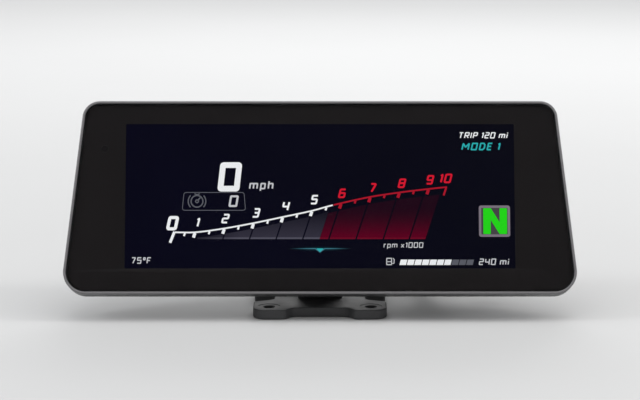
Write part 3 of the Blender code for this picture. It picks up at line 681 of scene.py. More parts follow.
# Name, dark and light colour, roughness, grain size mm, grain depth mm, specks, edge wear.
PLASTICS = [
    ("frame_plastic", (0.026, 0.026, 0.027), (0.036, 0.036, 0.038), 0.36, 0.22, 0.006, 0, 0.25),
    ("connector_plastic", (0.016, 0.016, 0.017), (0.028, 0.028, 0.029),
     0.47, 0.3, 0.012, 0.35, 0.35),
    ("lever_plastic", (0.22, 0.22, 0.215), (0.29, 0.29, 0.28), 0.46, 0.3, 0.012, 0.1, 0.3),
    ("lock_plastic", (0.46, 0.018, 0.014), (0.60, 0.034, 0.022), 0.4, 0.3, 0.010, 0.15, 0.2),
    ("coax_plastic", (0.012, 0.06, 0.24), (0.022, 0.095, 0.33), 0.42, 0.3, 0.010, 0.2, 0.25),
    ("chip", (0.014, 0.014, 0.015), (0.028, 0.028, 0.028), 0.5, 0.15, 0.006, 0.4, 0.35),
]
# Name, dark and light colour, roughness, rubbed colour, edge wear.
POWDERS = [
    ("housing_cast", (0.019, 0.019, 0.020), (0.029, 0.029, 0.031), 0.5, (0.20, 0.20, 0.20), 0.75),
    ("bracket_cast", (0.024, 0.024, 0.025), (0.036, 0.036, 0.038), 0.55, (0.16, 0.16, 0.16), 0.12),
]
# Name, two colours, roughness, brushed along X, scale of the lay, its depth mm.
METALS = [
    ("zinc_steel", (0.58, 0.59, 0.60), (0.64, 0.62, 0.57), 0.30, False, 1500, 0.0022),
    ("sheet_steel", (0.50, 0.51, 0.52), (0.60, 0.60, 0.60), 0.33, True, 2200, 0.006),
    ("contact", (0.83, 0.64, 0.28), (0.88, 0.73, 0.42), 0.24, False, 1400, 0.006),
    ("copper", (0.72, 0.33, 0.16), (0.85, 0.48, 0.28), 0.3, False, 2500, 0.006),
]
# Name, dark and light colour, roughness, bloom colour, pore depth mm, pore scale.
SOFTS = [
    ("rubber", (0.013, 0.013, 0.013), (0.022, 0.022, 0.022), 0.82, (0.07, 0.068, 0.062),
     0.02, 1300),
    ("tape", (0.012, 0.012, 0.012), (0.024, 0.024, 0.024), 0.9, (0.05, 0.05, 0.05), 0.04, 2200),
    ("silicone", (0.26, 0.035, 0.022), (0.36, 0.06, 0.035), 0.6, (0.42, 0.16, 0.12), 0.01, 900),
    ("thermal_pad", (0.30, 0.33, 0.52), (0.38, 0.42, 0.60), 0.82, (0.55, 0.57, 0.66), 0.03, 1800),
    ("film", (0.78, 0.79, 0.81), (0.86, 0.87, 0.89), 0.42, (0.92, 0.92, 0.92), 0.004, 3200),
    ("cable", (0.010, 0.010, 0.011), (0.020, 0.020, 0.021), 0.6, (0.055, 0.055, 0.055),
     0.008, 4200),
]
plastics = {row[0]: plastic(*row) for row in PLASTICS}
# The frame's rim gets a painted highlight along its crest.
satin_rim(plastics["frame_plastic"])
for maker, table in ((powder, POWDERS), (metal, METALS), (soft, SOFTS)):
    for row in table:
        maker(*row)


def board_look():
    """Printed circuit board: solder resist over copper tracks, with vias."""
    look = Look("circuit_board")
    run_x = look.bands(150, "Z", distort=2.2, place=look.stretch(x=0.35))
    run_z = look.bands(120, "X", distort=2.6, place=look.stretch(z=0.4))
    where = look.ramp(look.voronoi(95), span=(0.25, 0.3))
    tracks = look.calc(
        "MAXIMUM",
        look.times(look.ramp(run_x, span=(0.78, 0.84)), where),
        look.times(look.ramp(run_z, span=(0.8, 0.86)), look.calc("SUBTRACT", 1, where)),
    )
    vias = look.ramp(look.voronoi(210), span=(0.12, 0.09))
    base = look.mix(tracks, (0.006, 0.062, 0.028), (0.016, 0.125, 0.055))
    base = look.mix(look.times(vias, 0.85), base, (0.62, 0.56, 0.42))
    look.set(colour=base, rough=look.ramp(look.noise(300), to=(0.26, 0.4)),
             normal=look.bump(tracks, 0.03, strength=0.8), coat=0.3, coat_rough=0.25)


def flex_look():
    """Amber flexible circuit with parallel conductors."""
    look = Look("flex")
    lines = look.ramp(look.bands(420, "X"), span=(0.5, 0.6))
    base = look.mix(lines, (0.42, 0.17, 0.025), (0.62, 0.30, 0.07))
    look.set(colour=base, rough=look.ramp(look.noise(200), to=(0.26, 0.38)),
             normal=look.bump(lines, 0.012), coat=0.4)


def acrylic_look():
    """Light guide: clear sheet with printed dots that grow stronger up the screen."""
    look = Look("acrylic")
    dots = look.ramp(look.voronoi(900, randomness=0.15), span=(0.3, 0.24))
    grow = look.ramp(look.axis("Z"), span=(-0.046, 0.049), to=(0.15, 0.75))
    base = look.mix(look.times(dots, grow), (0.80, 0.86, 0.88), (0.97, 0.98, 0.98))
    look.set(colour=base, rough=look.ramp(dots, span=(0, 1), to=(0.08, 0.35)), alpha=0.6)


def mask_look():
    """Ceramic print behind the glass: dense neutral black with the faintest mottle."""
    look = Look("mask_print")
    fine = look.noise(900, detail=3, rough=0.6)
    wide = look.noise(22)
    base = look.mix(look.ramp(fine), (0.0142, 0.0124, 0.0127), (0.0162, 0.0144, 0.0148))
    base = look.mix(look.ramp(wide, to=(0, 0.5)), base, (0.0120, 0.0108, 0.0112))
    look.set(colour=base, rough=look.glossy(), spec=0.25)


def thin_clear(name, ior, rough, tint, smear):
    """A clear film: what is behind shows straight through, under a faint reflection."""
    look = Look(name)
    look.tree.nodes.remove(look.surface)
    haze = look.smear()
    clear_tint = look.mix(look.ramp(haze), tint, lifted(tint, gain=0.985))
    clear = look.node("BsdfTransparent", 0, {"Color": clear_tint})
    gloss = look.ramp(haze, to=(rough, rough + smear))
    shine = look.node("BsdfGlossy", 0, {"Color": (1, 1, 1), "Roughness": gloss})
    edge = look.node("Fresnel", 0, {"IOR": ior})
    mixed = look.node("MixShader", 0, {0: edge, 1: clear, 2: shine})
    look.feed(look.tree.nodes["Material Output"].inputs["Surface"], mixed)


def screen_look():
    """The panel's lit but dark navy ground, a little bluer to the left."""
    look = Look("screen")
    across = look.ramp(look.axis("X"), span=(-0.122, 0.122))
    height = look.ramp(look.axis("Z"), span=(-0.046, 0.046))
    glow = look.mix(across, (0.0018, 0.0016, 0.0086), (0.0022, 0.0022, 0.0060))
    low = look.times(look.calc("SUBTRACT", 1, height), 0.35)
    glow = look.mix(low, glow, (0.0016, 0.0017, 0.0075))
    cloud = look.ramp(look.noise(14), to=(0.86, 1.14))
    look.set(colour=(0.0008, 0.0008, 0.0012), rough=look.glossy(), spec=0.25, glow=glow,
             power=look.times(cloud, look.dots()))


def lit(name, colour, mottle, strength, fades=(), core=None):
    """A lit shape on the picture, mottled with a second colour.
    fades are (axis, from mm, to mm, share at from, share at to, bend); core is the distance from
    X = 0 where the light has gone, and the one where it is full."""
    look = Look(name)
    if mottle:
        colour = look.mix(look.noise(60, detail=1), mottle, colour)
    power = look.times(look.dots(), strength)
    keep = None
    for axis, start, end, start_share, end_share, bend in fades:
        along = look.ramp(look.axis(axis), span=(start * MM, end * MM))
        share = look.ramp(look.calc("POWER", along, bend), (0, 1), (start_share, end_share))
        keep = share if keep is None else look.times(keep, share)
    if core:
        off = look.calc("ABSOLUTE", look.calc("SUBTRACT", look.axis("X"), 0))
        keep = look.ramp(off, span=(core[0] * MM, core[1] * MM), smooth=True)
    if keep is not None:
        colour = look.mix(keep, (0.0020, 0.0019, 0.0074), colour)
    look.set(colour=(0.001, 0.001, 0.001), rough=look.glossy(), spec=0.25, glow=colour,
             power=power)


board_look()
flex_look()
acrylic_look()
mask_look()
thin_clear("cover_glass", ior=1.06, rough=0.03, tint=(0.985, 0.988, 0.99), smear=0.04)
thin_clear("clear_bond", ior=1.01, rough=0.3, tint=(0.995, 0.996, 0.997), smear=0.05)
screen_look()

GREY_FADE_X = ("X", -80, -50, 0.05, 1, 1)
GREY_FADE_Z = ("Z", -11.5, -25.5, 0.22, 1, 1)
RED_FADE_Z = ("Z", -5.5, -24.5, 0.12, 1, 2.1)
# Name, colour, mottle colour, strength, then any fades and core.
for row in [
    ("lit_white", (1, 1, 1), (0.93, 0.95, 0.98), 0.95),
    ("lit_soft_white", (0.86, 0.86, 0.90), (0.78, 0.79, 0.84), 0.72),
    ("lit_dim", (0.30, 0.31, 0.36), (0.24, 0.25, 0.31), 0.42),
    ("lit_red", (0.80, 0.012, 0.036), (0.70, 0.010, 0.030), 0.92),
    ("lit_red_line", (0.52, 0.010, 0.028), (0.42, 0.008, 0.024), 0.9),
    ("lit_cyan", (0.030, 0.50, 0.52), (0.028, 0.42, 0.44), 0.95),
    ("lit_green", (0.018, 0.76, 0.010), (0.020, 0.66, 0.012), 0.98),
    ("lit_box", (0.24, 0.205, 0.245), (0.20, 0.175, 0.21), 0.95),
    ("lit_box_in", (0.075, 0.07, 0.075), (0.06, 0.058, 0.062), 0.95),
    ("lit_bar_grey", (0.036, 0.033, 0.052), (0.031, 0.029, 0.046), 1, (GREY_FADE_X, GREY_FADE_Z)),
    ("lit_bar_red", (0.105, 0, 0.013), (0.092, 0, 0.012), 1, (RED_FADE_Z,)),
    ("lit_foot_grey", (0.085, 0.082, 0.112), None, 1, (GREY_FADE_X,)),
    ("lit_foot_red", (0.150, 0.002, 0.017), (0.136, 0.002, 0.015), 1),
    ("lit_cyan_line", (0.050, 0.190, 0.245), None, 1, (), (20, 3)),
    ("lit_cyan_glow", (0.003, 0.016, 0.024), None, 1, (), (16, 0)),
]:
    lit(*row)

WIRES = {
    "wire_black": (0.02, 0.02, 0.02), "wire_red": (0.45, 0.02, 0.015),
    "wire_yellow": (0.62, 0.42, 0.02), "wire_green": (0.02, 0.20, 0.05),
    "wire_blue": (0.02, 0.06, 0.32), "wire_white": (0.62, 0.62, 0.60),
    "wire_brown": (0.11, 0.045, 0.02),
}


def wire_look(name, colour):
    look = Look(name)
    streaks = look.ramp(look.noise(400))
    look.set(colour=look.mix(streaks, colour, lifted(colour, gain=1.25, lift=0.01)),
             rough=look.ramp(look.noise(900), to=(0.38, 0.5)),
             normal=look.bump(look.noise(2500), 0.006))


for name, colour in WIRES.items():
    wire_look(name, colour)


def label_look():
    """Blank satin plate label."""
    look = Look("label_plate")
    fine = look.noise(1800, rough=0.6, place=look.stretch(x=0.03))
    base = look.mix(look.ramp(fine), (0.52, 0.53, 0.54), (0.60, 0.61, 0.62))
    patches = look.ramp(look.noise(60, detail=4, rough=0.6), span=(0.5, 0.75), to=(0, 0.3))
    base = look.mix(patches, base, (0.42, 0.42, 0.42))
    look.set(colour=base, metal=0.55, rough=look.ramp(fine, to=(0.34, 0.46)),
             normal=look.bump(fine, 0.003))


def window_look():
    """Smoked patch over the light sensor."""
    look = Look("sensor_tint")
    fine = look.noise(1200)
    base = look.mix(look.ramp(fine), (0.0098, 0.0088, 0.0096), (0.0112, 0.0102, 0.0110))
    look.set(colour=base, rough=look.ramp(fine, to=(0.06, 0.10)), spec=0.25)


label_look()
window_look()

# ---------------------------------------------------------------- drawing on the picture
INK = (3.092, 3.116)  # front and back of the drawn layer, just in front of the panel


def band(left, right, closed=False, span=INK):
    """A closed plate between two rails of (x, z) points."""
    solid = bmesh.new()
    edges = [
        [solid.verts.new(Vector((x, y, z)) * MM) for x, z in rail]
        for rail in (left, right) for y in span
    ]
    left_front, left_back, right_front, right_back = edges
    n = len(left)
    for i in range(n if closed else n - 1):
        j = (i + 1) % n
        for a, b in ((left_front, right_front), (right_back, left_back),
                     (left_back, left_front), (right_front, right_back)):
            solid.faces.new((a[i], a[j], b[j], b[i]))
    if not closed:
        for i in (0, n - 1):
            solid.faces.new((left_front[i], right_front[i], right_back[i], left_back[i]))
    return to_object(solid)


def stroke(path, width, closed=False, span=INK):
    """A line of even width along (x, z) points, with mitred turns."""
    points = [Vector(p) for p in path]
    n = len(points)
    left, right = [], []
    for i, p in enumerate(points):
        come = (p - points[i - 1]).normalized() if i or closed else None
        go = (points[(i + 1) % n] - p).normalized() if i < n - 1 or closed else come
        come = come or go
        normal, normal_after = Vector((-come.y, come.x)), Vector((-go.y, go.x))
        mitre = normal + normal_after
        mitre = mitre.normalized() if mitre.length > 1e-6 else normal
        reach = min(1 / max(mitre.dot(normal), 0.3), 1.9) * width / 2
        left.append(p + mitre * reach)
        right.append(p - mitre * reach)
    return band(left, right, closed, span)


def softened(path, radius, closed=False, seg=4):
    """The path with its corners rounded."""
    n = len(path)
    points = []
    for i, p in enumerate(path):
        if not closed and i in (0, n - 1):
            points.append(tuple(p))
            continue
        corner = Vector(p)
        back, ahead = Vector(path[i - 1]) - corner, Vector(path[(i + 1) % n]) - corner
        half = math.acos(max(-1, min(1, back.normalized().dot(ahead.normalized())))) / 2
        if half > 1.45:
            points.append(tuple(p))
            continue
        trim = min(radius / math.tan(half), back.length * 0.48, ahead.length * 0.48)
        start, end = corner + back.normalized() * trim, corner + ahead.normalized() * trim
        for k in range(seg + 1):
            t = k / seg
            q = start * (1 - t) ** 2 + corner * 2 * t * (1 - t) + end * t * t
            points.append((q.x, q.y))
    return points


# Each glyph: (width as a share of height, strokes); a stroke is (closed, points), with points
# 0 to 1 across and up. * is the degree sign.
FULL_BOX = (1, [(0, 0), (1, 0), (1, 1), (0, 1)])
GLYPH = {
    "0": (0.74, [FULL_BOX]),
    "1": (0.34, [(0, [(0, 0.80), (0.95, 1), (0.95, 0)])]),
    "2": (0.70, [(0, [(0, 1), (1, 1), (1, 0.52), (0, 0.52), (0, 0), (1, 0)])]),
    "3": (0.70, [(0, [(0, 1), (1, 1), (1, 0), (0, 0)]), (0, [(0.2, 0.51), (1, 0.51)])]),
    "4": (0.72, [(0, [(0, 1), (0, 0.44), (1, 0.44)]), (0, [(1, 1), (1, 0)])]),
    "5": (0.70, [(0, [(1, 1), (0, 1), (0, 0.54), (1, 0.54), (1, 0), (0, 0)])]),
    "6": (0.72, [(1, [(0, 0), (1, 0), (1, 0.54), (0, 0.54)]), (0, [(0, 0.5), (0, 1), (0.95, 1)])]),
    "7": (0.68, [(0, [(0, 1), (1, 1), (0.45, 0)])]),
    "8": (0.72, [FULL_BOX, (0, [(0, 0.52), (1, 0.52)])]),
    "9": (0.72, [(1, [(0, 0.46), (1, 0.46), (1, 1), (0, 1)]), (0, [(1, 0.5), (1, 0), (0.05, 0)])]),
    "D": (0.76, [(1, [(0, 0), (0.72, 0), (1, 0.24), (1, 0.76), (0.72, 1), (0, 1)])]),
    "E": (0.66, [(0, [(1, 1), (0, 1), (0, 0), (1, 0)]), (0, [(0, 0.52), (0.86, 0.52)])]),
    "F": (0.64, [(0, [(0, 0), (0, 1), (1, 1)]), (0, [(0, 0.50), (0.84, 0.50)])]),
    "I": (0.22, [(0, [(0.5, 1), (0.5, 0)])]),
    "M": (0.96, [(0, [(0, 0), (0, 1), (0.5, 0.4), (1, 1), (1, 0)])]),
    "O": (0.80, [FULL_BOX]),
    "P": (0.70, [(0, [(0, 0), (0, 1), (1, 1), (1, 0.46), (0.1, 0.46)])]),
    "R": (0.74, [(0, [(0, 0), (0, 1), (1, 1), (1, 0.46), (0.1, 0.46)]),
                 (0, [(0.46, 0.46), (1, 0)])]),
    "T": (0.74, [(0, [(0, 1), (1, 1)]), (0, [(0.5, 1), (0.5, 0)])]),
    "h": (0.62, [(0, [(0, 1), (0, 0)]), (0, [(0, 0.68), (1, 0.68), (1, 0)])]),
    "i": (0.20, [(0, [(0.5, 0.68), (0.5, 0)]), (0, [(0.5, 1.02), (0.5, 0.86)])]),
    "m": (0.98, [(0, [(0, 0), (0, 0.68), (1, 0.68), (1, 0)]), (0, [(0.5, 0.68), (0.5, 0)])]),
    "p": (0.62, [(0, [(0, -0.3), (0, 0.68), (1, 0.68), (1, 0), (0, 0)])]),
    "r": (0.44, [(0, [(0, 0), (0, 0.68), (1, 0.68)])]),
    "x": (0.62, [(0, [(0, 0), (1, 0.68)]), (0, [(0, 0.68), (1, 0)])]),
    "*": (0.40, [(1, [(0, 0.62), (1, 0.62), (1, 1), (0, 1)])]),
}


def show(o, name, look):
    piece(o, name, look, smooth=20, weighted=False)


def write(name, look, words, at, height, weight, slant, gap=0.24, soften=0.06, to_left=False):
    """Squared, slanted lettering. at is the foot of the first letter, or with to_left of the
    last one's right edge; weight is the stroke's width; gap and soften are shares of height."""
    letters, pen = [], 0
    for letter in words:
        if letter == " ":
            pen += height * 0.42
            continue
        share, strokes = GLYPH[letter]
        width = share * height
        made = []
        for closed, points in strokes:
            path = [
                (pen + weight / 2 + a * (width - weight), weight / 2 + b * (height - weight))
                for a, b in points
            ]
            path = [(a + slant * b, b) for a, b in softened(path, soften * height, bool(closed))]
            made.append(stroke(path, weight, bool(closed)))
        letters.append(join(*made))
        pen += width + gap * height
    shift = gap * height - pen if to_left else 0
    text = moved(gather(letters), Matrix.Translation(Vector((at[0] + shift, 0, at[1])) * MM))
    show(text, name, look)


# ---------------------------------------------------------------- speed, and the set-speed box
write("speed_readout", "lit_white", "0", (-64.4, 3), 18.6, 3.6, slant=0.105, soften=0.035)
write("speed_unit", "lit_soft_white", "mph", (-44.6, 4.4), 5.6, 0.95, slant=0.12)
set_speed = softened([(-85.2, 2.4), (-47.6, 2.4), (-46.6, -8.9), (-86.2, -8.9)], 1.6, True)
show(stroke(set_speed, 0.42, True), "set_speed_box", "lit_dim")
ICON = (-77, -3.2)
icon = [
    stroke(circle(ICON, 3.7, 36), 0.75, True),
    stroke(circle(ICON, 0.9, 16), 0.7, True),
    stroke([(-76.6, -2.6), (-74.9, -0.9)], 0.8),
    stroke(arc(ICON, 5.5, -42, 42, 12), 0.7),
    stroke(arc(ICON, 5.5, 138, 222, 12), 0.7),
    stroke([(-78.6, 1.6), (-77, 0.9), (-75.4, 1.6)], 0.7),
]
show(gather(icon), "set_speed_icon", "lit_dim")
write("set_speed_value", "lit_soft_white", "0", (-57.4, -6.8), 7.4, 1.25, slant=0.16)

# ---------------------------------------------------------------- rev scale
# (x, z) of the scale's line.
REV_CURVE = [
    (-91, -22.8), (-78, -22.8), (-60, -20.4), (-42, -17.1), (-23.5, -13.2), (-5, -9.2),
    (7, -5.9), (30, -0.7), (49, 2.3), (67, 4.5), (79.5, 5.8),
]
(before_x, before_z), (end_x, end_z) = REV_CURVE[-2:]
REV_KNOTS = [
    (REV_CURVE[0][0] - 10, REV_CURVE[0][1]),
    *REV_CURVE,
    (end_x + 10, end_z + (end_z - before_z) * 0.4),
]
RED_AT = 8  # x where the red range starts
TICKS = [-78.1 + 18.25 * k for k in range(9)] + [79]
# (x, z) of the foot of each number from 1 to 9.
NUMBERS = [
    (-78.2, -19.6), (-62, -17.2), (-42.8, -13.6), (-24.4, -9.3), (-6.4, -5.2),
    (11, -1.2), (30.2, 2.3), (48.4, 5.2), (66, 7.4),
]


def rev_z(x):
    """Height of a smooth curve through the knots at x."""
    last = len(REV_KNOTS) - 3
    i = next(i for i in range(1, last + 1) if x <= REV_KNOTS[i + 1][0] or i == last)
    (x0, z0), (x1, z1), (x2, z2), (x3, z3) = REV_KNOTS[i - 1:i + 3]
    t = (x - x1) / (x2 - x1)
    slope1 = (z2 - z0) / (x2 - x0) * (x2 - x1)
    slope2 = (z3 - z1) / (x3 - x1) * (x2 - x1)
    return ((2 * t**3 - 3 * t**2 + 1) * z1 + (t**3 - 2 * t**2 + t) * slope1
            + (-2 * t**3 + 3 * t**2) * z2 + (t**3 - t**2) * slope2)


def rev_line(x0, x1, n):
    places = [x0 + (x1 - x0) * k / n for k in range(n + 1)]
    return stroke([(x, rev_z(x)) for x in places], 0.95)


def tick(x, length, width):
    z = rev_z(x) - 0.45
    return stroke([(x, z), (x - 0.32 * length, z - length)], width)


white = [rev_line(-90.6, RED_AT, 90)]
red = [rev_line(RED_AT + 0.5, 79.6, 64)]
for k, x in enumerate(TICKS):
    (white if x < RED_AT else red).append(tick(x, *((2.9, 1.9) if k < 9 else (4.8, 1.2))))
    if k < 8:
        between = (x + TICKS[k + 1]) / 2
        (white if between < RED_AT else red).append(tick(between, 1.8, 1.25))
white.append(tick(-84.4, 1.8, 1.25))
white.append(stroke([(-90.9, -22.4), (-93.6, -29.4)], 1.7))
show(gather(white), "rev_scale", "lit_white")
show(gather(red), "rev_scale_red", "lit_red_line")
write("rev_zero", "lit_white", "0", (-96.4, -21.6), 9.1, 1.95, slant=0.2, soften=0.1)
for k, at in enumerate(NUMBERS, 1):
    look = "lit_white" if k < 6 else "lit_red"
    write(f"rev_number_{k}", look, str(k), at, 6.1, 1.15, slant=0.26, soften=0.1)
write("rev_number_10", "lit_red", "10", (74.2, 8.3), 6.1, 1.15, slant=0.26, gap=0.16, soften=0.1)
write("rev_unit", "lit_soft_white", "rpm x1000", (39.6, -32.6), 3.5, 0.52, slant=0.1, gap=0.2)

# ---------------------------------------------------------------- slanted bars under the scale
# Grey up to the red range, then red, each with a bright foot.
BAR_EDGES = [-77.4, -60.7, -44, -27.4, -10.8, -0.4, 5.5, 22.5, 39.5, 55.7, 66.2]
FOOT_Z, SLANT, FOOT_HEIGHT = -27.1, 0.33, 1.1


def bar(x0, x1, clearance, n=10):
    """A bar from the foot line to clearance below the scale."""
    low, high = [], []
    for k in range(n + 1):
        x = x0 + (x1 - x0) * k / n
        z = FOOT_Z
        for _ in range(12):  # settles where the slanted side meets the curve
            z = rev_z(x + SLANT * (z - FOOT_Z)) - clearance
        z = max(z, FOOT_Z + 0.25)
        low.append((x, FOOT_Z))
        high.append((x + SLANT * (z - FOOT_Z), z))
    return band(low, high)


def foot(x0, x1):
    low = [(x, FOOT_Z) for x in (x0, x1)]
    high = [(x + SLANT * FOOT_HEIGHT, FOOT_Z + FOOT_HEIGHT) for x in (x0, x1)]
    return band(low, high, span=(INK[0] - 0.008, INK[0] - 0.001))


bars, feet = {"grey": [], "red": []}, {"grey": [], "red": []}
for left, right in zip(BAR_EDGES, BAR_EDGES[1:]):
    if right < 0:
        tone, clearance = "grey", 3.4
        ends = (left + 0.45, right if right > -1 else right - 0.45)
    else:
        tone, clearance = "red", 4.4
        ends = (left + (0.15 if left < 0 else 0.5), right - 0.5)
    bars[tone].append(bar(*ends, clearance))
    feet[tone].append(foot(*ends))
for tone, parts in bars.items():
    show(gather(parts), f"rev_bars_{tone}", f"lit_bar_{tone}")
for tone, parts in feet.items():
    show(gather(parts), f"rev_bars_{tone}_foot", f"lit_foot_{tone}")

# ---------------------------------------------------------------- menu marker under the scale
glow_x = [-20 + 2 * k for k in range(21)]
glow = band([(x, -32) for x in glow_x], [(x, -34.4) for x in glow_x], span=(INK[1] - 0.004, INK[1]))
show(glow, "menu_glow", "lit_cyan_glow")
LINE_Z = -33.1
line = [(-19 + 1.9 * k, LINE_Z) for k in range(9)]
line += [(-2.9, LINE_Z), (0, -35.3), (2.9, LINE_Z)]
line += [(3.8 + 1.9 * k, LINE_Z) for k in range(9)]
show(stroke(line, 0.62), "menu_line", "lit_cyan_line")
notch = band([(-2.2, -32.95), (0, -32.95), (2.2, -32.95)],
             [(-2.05, -33.3), (0, -35.2), (2.05, -33.3)], span=(INK[0] - 0.01, INK[0] - 0.002))
show(notch, "menu_notch", "lit_cyan")

# ---------------------------------------------------------------- trip, mode, air, range, gear, fuel
write("trip_text", "lit_white", "TRIP 120 mi", (117.6, 36.8), 4, 0.68, slant=0.24, gap=0.19,
      to_left=True)
write("mode_text", "lit_cyan", "MODE 1", (112.6, 29.2), 4.9, 0.92, slant=0.24, to_left=True)
write("air_temperature", "lit_soft_white", "75*F", (-118, -42.6), 4.1, 0.66, slant=0.12, gap=0.2)
write("range_text", "lit_soft_white", "240 mi", (117.6, -43.4), 4.1, 0.66, slant=0.14, gap=0.2,
      to_left=True)
gear_box = softened([(100.1, -24.9), (118.1, -24.9), (118.1, -6.6), (100.1, -6.6)], 0.8, True)
show(stroke(gear_box, 1.5, True, span=(INK[0], INK[1] - 0.004)), "gear_box", "lit_box")
ground = box_outline((100.6, 117.6), (-24.4, -7.1), 0.5)
show(sheet([ground], (INK[0] + 0.006, INK[1] - 0.002)), "gear_box_ground", "lit_box_in")
LETTER_N = [
    (102.1, -23.9), (102.1, -7.6), (106.9, -7.6), (112.3, -16.6), (112.3, -7.6),
    (116.9, -7.6), (116.9, -23.9), (112.2, -23.9), (106.7, -14.9), (106.7, -23.9),
]
show(sheet([LETTER_N], (INK[0] - 0.012, INK[0] + 0.004)), "gear_letter", "lit_green")

FUEL_X, FUEL_PITCH, FUEL_WIDTH, FUEL_LEAN = 49.5, 4.62, 4.1, 0.9
FUEL_FULL = 7  # lit segments of ten
segments = []
for k in range(10):
    x = FUEL_X + k * FUEL_PITCH
    segments.append(band([(x, -43.4), (x + FUEL_WIDTH, -43.4)],
                         [(x + FUEL_LEAN, -40), (x + FUEL_WIDTH + FUEL_LEAN, -40)]))
show(gather(segments[FUEL_FULL:]), "fuel_bar_empty", "lit_dim")
show(gather(segments[:FUEL_FULL]), "fuel_bar", "lit_white")
pump_body = softened([(41.6, -43.2), (44.6, -43.2), (44.6, -39.2), (41.6, -39.2)], 0.3, True)
pump_hose = softened([(45.1, -42.4), (46.1, -42.4), (46.3, -39.9), (45.4, -39.1)], 0.3)
pump = [
    stroke(pump_body, 0.6, True),
    stroke([(42, -41.3), (44.3, -41.3)], 0.5),
    stroke(pump_hose, 0.5),
]
show(gather(pump), "fuel_icon", "lit_soft_white")

# ---------------------------------------------------------------- glass, print and bond
POLISH = 0.38  # radius of the glass's rounded edges
GLASS_INSET, GLASS_BACK = 1.9, 2
quarter_turn = [math.pi / 2 * k / 6 for k in range(7)]
levels = [
    (cluster_outline(GLASS_INSET + POLISH * (1 - math.sin(t))), POLISH * (1 - math.cos(t)))
    for t in quarter_turn
]
levels += [
    (cluster_outline(GLASS_INSET + POLISH * (1 - math.cos(t))),
     GLASS_BACK - POLISH * (1 - math.sin(t)))
    for t in quarter_turn
]
piece(loft(levels), "glass_pane", "cover_glass", replaces="cover_glass", smooth=50)

window = box_outline(around(0, PICTURE_X), around(0, PICTURE_Z), 0.6, 5)
mask = sheet([cluster_outline(2.4), window], (2.05, 2.30))
cut(mask, rod(2.2, SENSOR, (1.8, 2.6), n=48))
piece(mask, "glass_print", "mask_print", replaces="bezel_mask")
patch = turned([(0, 2.07), (2.1, 2.07), (2.15, 2.12), (2.15, 2.28), (0, 2.28)], SENSOR)
piece(patch, "sensor_window", "sensor_tint")
bond_low, bond_high = [(corner - ORIGIN) / MM for corner in node_box("optical_bond")]
bond = block(*zip(bond_low, bond_high), 0.12, 2)
piece(bond, "bond_layer", "clear_bond", replaces="optical_bond")


# ---------------------------------------------------------------- front frame
def edge_ring(profile, seg=24, name="ring"):
    """A closed band round the unit, from its section as (inset, y) points."""
    return loft([(cluster_outline(i, seg), y) for i, y in profile], ring=True, name=name)


# Moulded rim round the glass, outer side wall with a groove, and an inner wall behind the shelf.
section = [(1.6, 2.6), (1.6, 0.25)]
section += arc((1.05, 0.25), 0.55, 0, -90, 7)[1:]
section += arc((0.85, 0.55), 0.85, -90, -180, 9)[1:]
section += [
    (0, 5), (0, 8.72), (0.05, 8.86), (0.24, 8.98), (0.24, 9.32), (0.05, 9.44), (0, 9.58),
    (0, 13.45),
]
section += arc((0.5, 13.5), 0.5, 180, 90, 5)[1:]
section += [
    (1.3, 14), (1.62, 13.7), (1.72, 5.9), (2.1, 5.45), (6.1, 5.45), (6.4, 5.9), (6.5, 13.6),
    (6.85, 14), (8.25, 14), (8.6, 13.6), (8.7, 5), (8.5, 4.4), (2, 4.2),
]
front = edge_ring(section, name="front_frame_moulding")
opening = box_outline(around(0, 128), (-52.8, 51.3), 2, 8)
tools = [sheet([cluster_outline(0.9), opening], (3, 5.4), bevel=0.25, seg=2)]
SCREW_POST = [(0, 4.7), (3.6, 4.7), (3.1, 6.2), (3, 13.75), (2.75, 13.99), (0, 13.99)]
tools += [turned(SCREW_POST, at, n=40) for at in SCREWS]
# Short webs tie each post to the walls beside it.
for i, (x, z) in enumerate(SCREWS):
    half_x, half_z = (8, 0.7) if i < 4 else (0.7, 8)
    tools.append(block(around(x, half_x), (4.9, 12.6), around(z, half_z), 0.25, 2))
join(front, *tools)
SCREW_BORE = [(0, 5.9), (1.4, 5.9), (1.4, 13.5), (1.95, 14.1), (1.95, 15), (0, 15)]
tools = [turned(SCREW_BORE, at, n=32) for at in SCREWS]
tools.append(rod(2.5, SENSOR, (2, 6.5), n=36))
# Drain slots along the lower edge.
for x in (-96, -84, 84, 96):
    tools.append(block(around(x, 3.2), (11.2, 12.6), (-64.5, -60.9), 0.6, 3))
cut(front, *tools)
piece(front, "front_frame_moulding", "frame_plastic", replaces="front_frame", smooth=34)


# ---------------------------------------------------------------- case screws
def thread(radius, depth, pitch, head_y, tip_y, taper, n=28):
    """A threaded shank round Y, its ridge fading out at both ends. taper is the tip's length."""
    length = head_y - tip_y
    count = int(length / (pitch / 6))
    runout = 0.6 * pitch

    def surface(angle, along):
        phase = (along / pitch + angle / (2 * math.pi)) % 1
        ridge = min(1, (1 - abs(phase - 0.5) * 2) * 1.25)
        fade = min(1, along / runout, (length - along) / runout)
        left = length - along
        crest = radius if left > taper else radius - (taper - left) / taper * radius * 0.55
        return crest + depth * (ridge * fade - 1)

    return tube([(0, head_y - length * k / count, 0) for k in range(count + 1)], surface, n)


def lobes(radius, deep=0.16, n=48):
    """Six-lobed outline of a screw's drive."""
    return [
        (a * (1 - deep + deep * math.cos(6 * 2 * math.pi * k / n)),
         b * (1 - deep + deep * math.cos(6 * 2 * math.pi * k / n)))
        for k, (a, b) in enumerate(circle((0, 0), radius, n))
    ]


